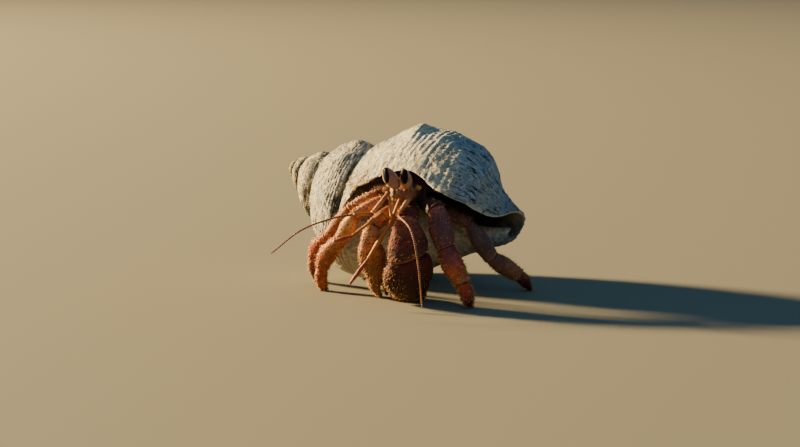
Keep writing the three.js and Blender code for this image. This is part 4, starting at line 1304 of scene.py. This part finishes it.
def build_hand(prefix, palm, fixed_finger, spec, material, voxel_mm):
    points, normals, faces = fuse([palm, fixed_finger], voxel_mm)
    from_root = points - palm["start"]
    u = np.clip(from_root @ palm["line"] / palm["length"], 0, 1)
    angle = np.arctan2(from_root @ palm["deep"], from_root @ palm["wide"])
    edge = np.maximum(edge_share(angle, spec), 0.8 * smooth((u - 0.8) / 0.2)) * smooth(u / 0.12)
    moved, granule, dot = granulate(points, normals, edge, 0.6 * smooth((u - 0.5) / 0.5), spec)
    moved = clear_floor(moved)
    masks = dict(tint=tint_for(u, normals, moved, spec), granule=granule, dot=dot)
    make_piece(prefix + "palm_skin", (moved, faces, masks), material, [prefix + "palm"])
    chance = spec["hair"] * (0.05 + 1.6 * edge)
    plant(moved, normals, palm["line"], u, angle, chance, spec["hair_mm"])


print("the fuse helper melts forms together")

# %% [markdown]
# The left claw is by far the larger. It is folded in front of the mouth like a door, with
# its fingers down and back under the body. The right claw is small and slender.

# %% Claws
big_claw = [
    segment("ischium", 2.6, -86, -12, [1.4, 1.8, 1.9], [1.2, 1.5, 1.6]),
    segment("merus", 5.4, -98, -12, [2.0, 2.3, 2.2], [1.7, 2.0, 1.8]),
    segment("carpus", 8.3, -80, -80, [2.2, 3.6, 4.4, 4.4], [1.8, 2.4, 2.8, 2.8], NO_BOW, (0.3, 0, 0)),
    segment("palm", 11.2, 88, -63, [4.5, 5.4, 5.5, 4.6, 2.6], [2.8, 3.3, 3.3, 2.6, 1.5])]
small_claw = [
    segment("ischium", 2.2, -119, -20, [0.9, 1.1, 1.1], [0.8, 0.95, 0.95]),
    segment("merus", 6.4, -122, -24, [1.2, 1.5, 1.6], [1.0, 1.2, 1.3]),
    segment("carpus", 3.6, 137, -67, [1.6, 1.9, 1.8], [1.3, 1.5, 1.4]),
    segment("palm", 10.6, 74, -60, [1.8, 2.9, 2.9, 2.1], [1.4, 1.9, 1.8, 1.3])]


def build_claw(prefix, root, segments, fixed, moving, material, slot, voxel_mm, **shape):
    looks = LOOKS[prefix]
    forms = limb_forms(root, segments, FRONTWARD, **shape)
    palm = forms.pop("palm")
    prefix = prefix + "_"
    dress_limb(prefix, forms, looks, material)
    build_hand(prefix, palm, finger_form(*fixed), looks["palm"], material, voxel_mm)
    dress_limb(prefix, {"finger": finger_form(*moving)}, looks, material)


build_claw("claw_left", (-2.5, -5.2, 21.3), big_claw,
           ((-1.2, -9.6, 2.6), 7.6, 92, -14, [1.6, 1.7, 0.5], [1.9, 1.6, 0.5], (0.9, 0, 0)),
           ((-4.6, -7.5, 2.1), 6.0, 86, -13, [1.4, 1.5, 0.5], [1.7, 1.5, 0.5], (-0.8, 0, 0)),
           big_claw_skin, "claw_purple", 0.11, sides=130, rings=90)
build_claw("claw_right", (-6.3, -4.6, 21.4), small_claw,
           ((-10.8, -6.3, 6.4), 8.2, 70, -50, [1.2, 1.2, 0.4], [1.3, 1.1, 0.4], (-0.5, 0, 0)),
           ((-8.15, -4.7, 4.7), 6.0, 82, -45, [1.1, 1.15, 0.4], [1.2, 1.05, 0.4], (0.5, 0, 0)),
           small_claw_skin, "leg_tan", 0.09, sides=84, rings=70)
print("claws built:", tally["claw_left_palm_skin"], "triangles in the big palm")

# %% [markdown]
# ## The head
# The crab looks out on two flattened stalks like paddles, which is the mark of a land
# hermit crab. The eye itself, the cornea, is a long dark oval let into the stalk's outer
# face. It is a stretched ball, with its poles at the ends of the oval.

# %% Balls
def ball(centre, radii, facing, upright, rows=40, columns=48):
    z = unit(facing)
    y = unit(upright - z * (upright @ z))
    x = np.cross(y, z)
    polar = (np.arange(rows) + 1)[:, None] / (rows + 1) * np.pi
    turn = np.linspace(0, 2 * np.pi, columns, endpoint=False)[None]
    rx, ry, rz = radii
    across, high = rx * np.sin(polar) * np.cos(turn), ry * np.cos(polar) + 0 * turn
    deep = rz * np.sin(polar) * np.sin(turn)
    points = centre + across[..., None] * x + high[..., None] * y + deep[..., None] * z
    return dict(points=points, start=centre + y * ry, end=centre - y * ry, axes=(x, y, z))


def add_ball(patches, form):
    patches.tube(form["points"], (form["start"], form["end"]))


print("the upper pole of a unit ball:", ball(np.zeros(3), (1, 1, 1), SIDEWAYS, UP)["start"])

# %% [markdown]
# The stalk is a flattened tube. Where it lies round the eye it swells into a pale rim,
# and inside the rim it is sunk to hold the eye and painted dark there as shade. Its tint
# is a drift of tan and pink.

# %% Eyes and eyestalks
EYE_RADII = np.array([0.85, 1.75, 0.6])
STALK_DEPTHS = [0.7, 0.95, 0.5]
RIM_HEIGHT, CUP_DEPTH = 0.26, 0.5


def round_the_eye(points, centre, axes):
    """How much a point of the stalk is on the eye's rim, and how much in its cup."""
    x, y, z = axes
    away = points - centre
    flat = np.sqrt((away @ x / EYE_RADII[0]) ** 2 + (away @ y / EYE_RADII[1]) ** 2)
    outer_face = smooth((away @ z + 0.5) / 0.5)
    return bump(flat, 1.22, 0.16) * outer_face, smooth((1.04 - flat) / 0.1) * outer_face


def stalk_tint(points, u, rim, cup):
    pink, tan, pale, brown = paint("#c08868"), paint("#bc8c5c"), paint("#f4dca4"), paint("#6a3c26")
    tint = tan + (pink - tan) * smooth((u - 0.15) / 0.4)
    tint = tint * (0.75 + 0.4 * clouds(points, 0.5, 213, 3)[..., None])
    tint = tint + (brown - tint) * (0.7 * smooth((0.16 - u) / 0.14))
    tint = tint + (pale - tint) * (np.clip(rim * 1.2, 0, 1) * 0.9)[..., None]
    # Painted shade: the cup under the eye is darkened.
    return tint + (brown * 0.4 - tint) * cup[..., None]


def build_eye(side, root, stalk, widths, centre, facing):
    length, turn, slope = stalk
    line = heading(turn, slope)
    root, centre, facing = (np.array(v, float) for v in (root, centre, facing))
    form = segment_form(root, root + line * length, line, line, widths, STALK_DEPTHS, FRONTWARD,
                        np.array(NO_BOW), sides=140, rings=140, square=2.1, ends=(0.4, 0.7))
    eye = ball(centre, EYE_RADII, facing, line)
    plain = form["points"]
    rim, cup = round_the_eye(plain, centre, eye["axes"])
    rise = RIM_HEIGHT * rim + 0.07 * (clouds(plain, 0.7, 211, 3) - 0.5)
    sunk = eye["axes"][2] * (CUP_DEPTH * cup)[..., None]
    points = plain + grid_normals(plain) * rise[..., None] - sunk
    tint = stalk_tint(plain, form["u"][..., None], rim, cup)
    patches = Patches()
    patches.tube(points, (form["start"], form["end"]), tint=tint, granule=0.0, dot=0.0)
    make_piece("eyestalk_" + side + "_skin", patches, stalk_skin, ["eyestalk_" + side])
    oval = Patches()
    add_ball(oval, eye)
    make_piece("eye_" + side + "_cornea", oval, cornea, ["eye_" + side])


build_eye("right", (-5.1, -8.6, 26.0), (5.8, -158, 57), [0.85, 1.45, 1.35, 0.6],
          (-7.7, -10.1, 29.1), (-0.95, -0.5, -0.1))
build_eye("left", (-2.8, -8.6, 25.9), (5.1, -120, 68), [0.8, 1.3, 1.2, 0.55],
          (-3.65, -11.0, 29.1), (-0.35, -0.93, 0))
print("eyes built")

# %% [markdown]
# Two pairs of feelers. The long antennae have a jointed stem, with a small scale above
# it, and a whip of many tiny rings, dark and light by turns, with which the crab feels
# its way. The short antennules fold like a carpenter's rule and end in a red club: they
# smell the air. Two short mouthparts hang between the claws. Their segments are made as
# the limbs' are, with looks of their own.

# %% Looks of the feelers
STEM_LOOK = look("#8a4a20 #c0702a #e0a04c #d08a3c", "#7a3c16", grain_mm=0.35, rise=0.03, share=0.5,
                 dots=0.1, hair_mm=0.4)
ARTICLE_LOOK = look("#b86c10 #cc8820 #bc7414", "#8c4c0c", grain_mm=0.3, rise=0.012, share=0.4,
                    dots=0.04, pale=0.1, hair=0.0)
ROD_LOOK = look("#c87404 #d88408 #b45c04", "#985004", grain_mm=0.25, rise=0.012, share=0.4,
                dots=0.0, pale=0.1, hair=0.0)
CLUB_LOOK = look("#b84c08 #a43804 #b84c08", "#7a2c12", grain_mm=0.25, rise=0.03,
                 dots=0.0, pale=0.2, hair=0.0)
MOUTH_LOOK = look("#b87a36 #e6bc78 #f0d49c", "#a06a30", grain_mm=0.35, rise=0.03, share=0.5,
                  dots=0.06, hair=0.03, hair_mm=0.5)
SCALE_LOOK = look("#a06a2c #e0b058 #f0cc84", "#7a4a20", grain_mm=0.3, rise=0.04, share=0.5,
                  dots=0.1, hair=0.03, hair_mm=0.5)
ANTENNA_LOOKS = dict(peduncle=STEM_LOOK, article=ARTICLE_LOOK)
ANTENNULE_LOOKS = dict(stem=ARTICLE_LOOK, knee=ARTICLE_LOOK, rod=ROD_LOOK, club=CLUB_LOOK)
print("looks for the feelers:", len(ANTENNA_LOOKS) + len(ANTENNULE_LOOKS))

# %% Stems and scales
def build_feeler(prefix, root, segments, looks):
    forms = limb_forms(root, segments, FRONTWARD, sides=36, rings=70, square=2.0, ends=(0.9, 0.7))
    dress_limb(prefix, forms, looks, feeler_skin)


build_feeler("antenna_right_", (-6.8, -9.5, 25.6), [
    segment("peduncle", 6.8, -149, -45, [0.45, 0.5, 0.4], [0.45, 0.5, 0.4]),
    segment("article", 4.2, -166, 0, [0.4, 0.4, 0.3], [0.4, 0.4, 0.3])], ANTENNA_LOOKS)
build_feeler("antenna_left_", (-1.5, -8.9, 25.4), [
    segment("peduncle", 7.5, -121, -33, [0.5, 0.6, 0.5, 0.4], [0.5, 0.55, 0.5, 0.4])], ANTENNA_LOOKS)
build_feeler("antennal_scale_", (-7.0, -8.6, 26.0), [
    segment("right", 2.4, -120, 4, [0.55, 0.5, 0.3], [0.45, 0.4, 0.3])], dict(right=SCALE_LOOK))
build_feeler("antennal_scale_", (-0.9, -8.6, 26.3), [
    segment("left", 2.6, -75, 4, [0.55, 0.5, 0.3], [0.45, 0.4, 0.3])], dict(left=STEM_LOOK))
print("stems and scales built")

# %% Whips
WHIP_STEPS, WHIP_SIDES, RING_SWELL = 700, 12, 0.10


def whip(name, route, root_radius, tip_radius, ring_mm, light, dark):
    """A feeler's whip on a smooth route, with a small swelling on each of its rings."""
    u = np.linspace(0, 1, WHIP_STEPS)
    middle = along(np.array(route, float), u)
    steps = np.linalg.norm(np.diff(middle, axis=0), axis=1)
    beat = 2 * np.pi * np.concatenate([[0], np.cumsum(steps)]) / ring_mm
    line = unit(np.gradient(middle, axis=0))
    wide = unit(np.cross(line, np.array([0.3, 0.2, 1.0])))
    tall = np.cross(line, wide)
    radius = (root_radius + (tip_radius - root_radius) * u) * (1 + RING_SWELL * np.cos(beat))
    turn = np.linspace(0, 2 * np.pi, WHIP_SIDES, endpoint=False)[None, :, None]
    spokes = wide[:, None] * np.cos(turn) + tall[:, None] * np.sin(turn)
    points = middle[:, None] + radius[:, None, None] * spokes
    band = smooth((np.cos(beat) + 0.15) / 0.5)[:, None, None]
    tint = np.broadcast_to(paint(dark) + (paint(light) - paint(dark)) * band, points.shape)
    patches = Patches()
    patches.tube(points, middle[[0, -1]], dict(tint=paint(dark)), tint=tint, granule=0.0, dot=0.0)
    make_piece(name + "_whip", on_floor(patches), feeler_skin, [name])


whip("antenna_right_flagellum",
     [(-15.3, -13.1, 20.75), (-20.1, -14.5, 20.0), (-26.6, -16.0, 17.6), (-32.9, -18.0, 12.9)],
     0.26, 0.16, 0.62, "#c99058", "#4a2010")
whip("antenna_left_flagellum",
     [(-5.05, -14.8, 20.85), (-2.2, -19.3, 18.2), (-0.7, -19.3, 11.1), (0.3, -17.0, 0.8)],
     0.28, 0.18, 0.5, "#cf9a68", "#8a4e2c")
print("whips built")

# %% Antennules and mouthparts
build_feeler("antennule_right_", (-6.9, -10.0, 24.6), [
    segment("stem", 5.4, -80, -66, [0.35, 0.4, 0.35], [0.35, 0.4, 0.35]),
    segment("knee", 2.7, -154, 31, [0.35, 0.35, 0.35], [0.35, 0.35, 0.35]),
    segment("rod", 8.3, -167, -35, [0.35, 0.35, 0.3], [0.35, 0.35, 0.3]),
    segment("club", 4.4, -173, -17, [0.3, 0.45, 0.25], [0.3, 0.35, 0.25])], ANTENNULE_LOOKS)
build_feeler("antennule_left_", (-4.6, -9.9, 24.0), [
    segment("stem", 5.6, -140, -62, [0.35, 0.35, 0.35], [0.35, 0.35, 0.35]),
    segment("rod", 10.0, -157, -56, [0.4, 0.5, 0.35], [0.4, 0.5, 0.35]),
    segment("club", 6.9, -173, -53, [0.35, 0.45, 0.25], [0.3, 0.35, 0.25])], ANTENNULE_LOOKS)
build_feeler("mouthpart_", (-6.2, -8.0, 22.9), [
    segment("right", 4.5, -99, -64, [0.5, 0.6, 0.35], [0.4, 0.5, 0.3])], dict(right=MOUTH_LOOK))
build_feeler("mouthpart_", (-4.8, -8.0, 22.9), [
    segment("left", 3.6, -108, -60, [0.5, 0.6, 0.35], [0.4, 0.5, 0.3])], dict(left=MOUTH_LOOK))
print("antennules and mouthparts built")

# %% [markdown]
# ## Trunk and belly
# The shield over the crab's front part is firm. Low ridges part its fields, and its face
# is set with plates like small tiles, some of them golden. Behind it the belly is soft,
# and curls back into the shell's hollow. Both are lofts: rings round a curve, whose width
# and height follow a few stations.

# %% Lofts
def loft_grid(stations, sides, steps, wide_side=SIDEWAYS):
    centres = np.array([s[0] for s in stations], float)
    widths, heights = [s[1] for s in stations], [s[2] for s in stations]
    u = np.linspace(0, 1, steps)
    middle = along(centres, u)
    line = unit(along(centres, np.clip(u + 0.01, 0, 1)) - along(centres, np.clip(u - 0.01, 0, 1)))
    wide = unit(wide_side - line * (line @ wide_side)[:, None])
    tall = np.cross(line, wide)
    run = np.concatenate([[0], np.cumsum(np.linalg.norm(np.diff(middle, axis=0), axis=1))])
    w, h = along(widths, u), along(heights, u)
    round_off = np.clip(np.minimum(run, run[-1] - run) / (0.3 * (w + h)), 0, 1)
    dome = np.sqrt(1 - (1 - np.maximum(round_off, 0.02)) ** 2)
    turn = np.linspace(0, 2 * np.pi, sides, endpoint=False)[None, :, None]
    points = (middle[:, None] + (wide * (w * dome)[:, None])[:, None] * np.cos(turn)
              + (tall * (h * dome)[:, None])[:, None] * np.sin(turn))
    return points, u[:, None] + 0 * turn[..., 0], turn[..., 0] + 0 * u[:, None], middle[[0, -1]]


print("lofts ready")

# %% Carapace
# Stations from the face backwards: centre, half width and half height.
TRUNK = [((-4.3, -8.9, 24.6), 1.9, 1.4), ((-4.1, -6.0, 24.4), 3.6, 2.5), ((-3.5, -2.0, 24.6), 4.4, 3.1),
         ((-2.2, 2.5, 25.7), 4.6, 3.1), ((0.1, 6.6, 27.2), 4.0, 2.8), ((1.5, 9.4, 28.2), 2.8, 2.2)]


GOLDEN_FROM_X, GOLDEN_SPREAD = -1.5, 3.0


def shield_ridges(u, angle):
    """A ridge across the shield, and two along its hind part."""
    across = bump(u + 0.03 * np.cos(2 * angle), 0.46, 0.03)
    return across + 0.7 * bump(np.abs(np.cos(angle)), 0.62, 0.05) * smooth((u - 0.5) / 0.1)


def build_carapace():
    points, u, angle, ends = loft_grid(TRUNK, 160, 200)
    ridge = shield_ridges(u, angle)
    hill, _ = hills(points, 0.55, 0.24, 0.45, 301)
    face = smooth((0.20 - u) / 0.08)
    plate_far, plate_lot = grains(points, 1.5, 307)
    plate = smooth((0.95 - plate_far) / 0.5)
    rise = 0.05 * hill + 0.20 * ridge + 0.2 * (clouds(points, 2.2, 303, 2) - 0.5)
    rise = rise + 0.35 * face * (plate - 0.6)
    back, front, gold = paint("#4a3026"), paint("#a87840"), paint("#e8b864")
    tint = back + (front - back) * (face * (0.4 + 0.8 * clouds(points, 1.0, 305, 2)))[..., None]
    tint = tint + (paint("#8c6a50") - tint) * (0.6 * np.clip(ridge, 0, 1))[..., None]
    golden_side = smooth((GOLDEN_FROM_X - points[..., 0]) / GOLDEN_SPREAD) * face
    golden = golden_side * smooth((plate - 0.55) / 0.35) * (plate_lot < 0.5)
    tint = tint + (gold - tint) * (0.7 * golden)[..., None]
    points = points + grid_normals(points) * rise[..., None]
    patches = Patches()
    patches.tube(points, ends, tint=tint, granule=0.3 * hill, dot=0.0)
    make_piece("carapace_shield", patches, body_skin, ["carapace"])


build_carapace()
print("carapace:", tally["carapace_shield"], "triangles")

# %% [markdown]
# The small fourth legs press against the shell's wall and hold it. They are out of sight,
# so they are plain.

# %% Small fourth legs
HIDDEN_LOOK = look("#b08060 #c09070 #a06a48", "#7a4c34", rise=0.03, hair=0.0)
FOURTH_LEG_BOW = (0, -0.4, 0)
FOURTH_LEGS = [
    ((2.9, 3.4, 24.4), segment("left", 4.4, 14, -6, [0.7, 0.9, 0.6], [0.6, 0.7, 0.5], FOURTH_LEG_BOW)),
    ((-6.9, 3.6, 24.9), segment("right", 3.8, 168, -4, [0.7, 0.85, 0.6], [0.6, 0.7, 0.5], FOURTH_LEG_BOW)),
]
for leg_root, leg_segment in FOURTH_LEGS:
    leg_forms = limb_forms(leg_root, [leg_segment], UP, sides=32, rings=40)
    dress_limb("leg_fourth_", leg_forms, dict.fromkeys(leg_forms, HIDDEN_LOOK), small_claw_skin)
print("fourth legs built")

# %% [markdown]
# Soft skin fills the creases between the hard tubes of every limb, so the belly and the
# creases are one piece here. The belly runs midway between the hollow's two walls, with
# faint rings round it. Each crease is a flat ball that hides inside the two rims.

# %% Soft skin: the belly and the creases
BELLY_TURNS = np.linspace(-0.21, -0.6, 7)
BELLY_INNER_S, BELLY_OUTER_S = 1.25, 0.85
BELLY_RINGS = 9


def belly_stations():
    inside = shell_surface(BELLY_INNER_S, BELLY_TURNS - 1)
    outside = shell_surface(BELLY_OUTER_S, BELLY_TURNS, WALL)
    reach = np.linalg.norm(inside - outside, axis=1) / 2 * np.linspace(0.5, 0.34, len(BELLY_TURNS))
    centres = inside * 0.48 + outside * 0.52
    return [(centre, 1.1 * size, size) for centre, size in zip(centres, reach)]


def crease_ball(place_of, normal, width, depth, face):
    deep = unit(face - normal * (face @ normal))
    thick = max(0.30, 0.36 * min(width, depth))
    radii = (depth * 0.93, thick, width * 0.93)
    return ball(place_of, radii, np.cross(deep, normal), normal, rows=16, columns=32)


def build_soft_skin():
    points, u, _, ends = loft_grid(belly_stations(), 90, 140, AXIS)
    rise = 0.12 * np.cos(2 * np.pi * BELLY_RINGS * u) + 0.25 * (clouds(points, 1.6, 401, 2) - 0.5)
    patches = Patches()
    patches.tube(points + grid_normals(points) * rise[..., None], ends)
    for crease in creases:
        add_ball(patches, crease_ball(*crease))
    make_piece("soft_skin", patches, soft_skin, ["abdomen"])


build_soft_skin()
print("soft skin:", len(creases), "creases and the belly")

# %% [markdown]
# ## Bristles
# Every kept root now grows a spike with three flat sides, which leans towards the tip of
# its segment and narrows to a point. All spikes are joined in one mesh. The texture map
# OFBake puts each spike on a tiny patch at its root's place, on the flat plan of the
# segments.

# %% Shape of a bristle
OFBAKE_PATCH = 0.003
BRISTLE_MM, FLOOR_CLEARANCE = 0.05, 0.02
BRISTLE_RINGS = [(-0.15, 1.0), (0.55, 0.6)]
BRISTLE_FACES = [(0, 1, 4), (0, 4, 3), (1, 2, 5), (1, 5, 4), (2, 0, 3), (2, 3, 5),
                 (3, 4, 6), (4, 5, 6), (5, 3, 6), (0, 2, 1)]
BRISTLE_PLAN = np.array([(0, 0), (1, 0), (0.5, 1), (0, 0.5), (1, 0.5), (0.5, 0.7), (0.5, 1)]) - 0.5
BRISTLE_POINTS = len(BRISTLE_PLAN)


def bristle_points(place_of, normal, line, length):
    """Two rings of three points and a tip, for every bristle at once."""
    lean = unit(normal * 0.8 + line * 0.7 + 0.35 * rng.normal(size=normal.shape))
    side = unit(np.cross(lean, line + 0.01))
    other = np.cross(lean, side)
    turn = np.array([0, 2, 4]) * np.pi / 3
    spokes = side[:, None] * np.cos(turn)[:, None] + other[:, None] * np.sin(turn)[:, None]
    rings = []
    for share, girth in BRISTLE_RINGS:
        bend = line * (length * 0.12 * max(share, 0) ** 2)[:, None]
        centre = place_of + lean * (length * share)[:, None] + bend
        rings.append(centre[:, None] + spokes * BRISTLE_MM * girth)
    tip = place_of + lean * length[:, None] + line * (length * 0.15)[:, None]
    points = np.concatenate([*rings, tip[:, None]], axis=1)
    points[..., 2] = np.maximum(points[..., 2], FLOOR_CLEARANCE)
    return points


print("a bristle has", len(BRISTLE_FACES), "faces")

# %% Grow the bristles
def lay_plan(mesh, uv):
    """The OFBake map: each bristle's patch at its root's place on the plan."""
    corner = np.zeros(len(mesh.loops), int)
    mesh.loops.foreach_get("vertex_index", corner)
    within = BRISTLE_PLAN[corner % BRISTLE_POINTS] * OFBAKE_PATCH
    layer = mesh.uv_layers.new(name="OFBake")
    layer.data.foreach_set("uv", (uv[corner // BRISTLE_POINTS] + within).ravel())


def grow_bristles(name, material):
    place_of, normal, uv = (np.concatenate([r[key] for r in roots]) for key in ("place", "normal", "uv"))
    line = np.concatenate([np.broadcast_to(r["line"], r["place"].shape) for r in roots])
    length = np.concatenate([np.full(len(r["place"]), r["length"]) for r in roots])
    length = length * (0.5 + rng.random(len(place_of)))
    points = bristle_points(place_of, normal, line, length)
    base = np.arange(len(points))[:, None] * BRISTLE_POINTS
    faces = np.concatenate([base + np.array(face) for face in BRISTLE_FACES])
    piece = make_piece(name, (points.reshape(-1, 3), faces.tolist(), {}), material, [])
    lay_plan(piece.data, uv)
    return len(points)


print(grow_bristles("limb_bristles", bristle), "bristles")

# %% [markdown]
# ## Floor, light and camera
# A plain pale floor lets the animal stand out. A large warm lamp, far off, low and a
# little behind on the left, grazes the shell and shows its chalky relief. A weak cool
# lamp in front and a weak cool sky fill the shadows. The camera stands low, about 45 cm
# in front of the crab, with a long lens, so that near limbs aren't swollen.

# %% Floor
FLOOR_REACH_M = 6.0


def build_floor():
    material, tree = new_material("pale floor")
    shader = tree.nodes["Principled BSDF"]
    shader.inputs["Base Color"].default_value = rgba("#7e7a64")
    shader.inputs["Roughness"].default_value = 0.95
    mesh = bpy.data.meshes.new("floor")
    reach = FLOOR_REACH_M
    corners = [(-reach, -reach, 0), (reach, -reach, 0), (reach, reach, 0), (-reach, reach, 0)]
    mesh.from_pydata(corners, [], [(0, 1, 2, 3)])
    mesh.materials.append(material)
    floor = bpy.data.objects.new("floor", mesh)
    bpy.context.scene.collection.objects.link(floor)


build_floor()
print("floor laid")

# %% Lights
LAMP_AIM = Vector((0.0, 0.0, 15.0))


def soft_lamp(name, place_mm, size_mm, watts, colour):
    lamp = bpy.data.lights.new(name, "AREA")
    lamp.shape, lamp.size, lamp.energy = "DISK", size_mm * METRES, watts
    lamp.color = tuple(paint(colour).tolist())
    holder = bpy.data.objects.new(name, lamp)
    holder.location = Vector(place_mm) * METRES
    holder.rotation_euler = (Vector(place_mm) - LAMP_AIM).to_track_quat("Z", "Y").to_euler()
    bpy.context.scene.collection.objects.link(holder)


def cool_sky(colour, strength):
    world = bpy.data.worlds.new("cool sky")
    world.use_nodes = True
    background = world.node_tree.nodes["Background"]
    background.inputs["Color"].default_value = rgba(colour)
    background.inputs["Strength"].default_value = strength
    bpy.context.scene.world = world


soft_lamp("low warm key", (-2540, 1010, 960), 360, 480.0, "#ffdca2")
soft_lamp("broad front fill", (200, -520, 380), 420, 0.50, "#a8d0ff")
cool_sky("#80b8ea", 0.34)
print("lights set")

# %% Camera
CAMERA_MM = Vector((-1.12, -438.84, 81.08))
CAMERA_TILT_DEG, LENS_MM, SENSOR_MM = 81.5, 85.5, 36.0


def build_camera():
    camera = bpy.data.cameras.new("camera")
    camera.lens, camera.sensor_width = LENS_MM, SENSOR_MM
    camera.clip_start, camera.clip_end = 0.01, 20.0
    holder = bpy.data.objects.new("camera", camera)
    holder.location = CAMERA_MM * METRES
    holder.rotation_euler = (np.radians(CAMERA_TILT_DEG), 0.0, 0.0)
    bpy.context.scene.collection.objects.link(holder)
    bpy.context.scene.camera = holder


build_camera()
print("camera set")

# %% [markdown]
# Last, the count of pieces and of their triangles is printed.


print("pieces:", len(tally), "triangles:", sum(tally.values()))
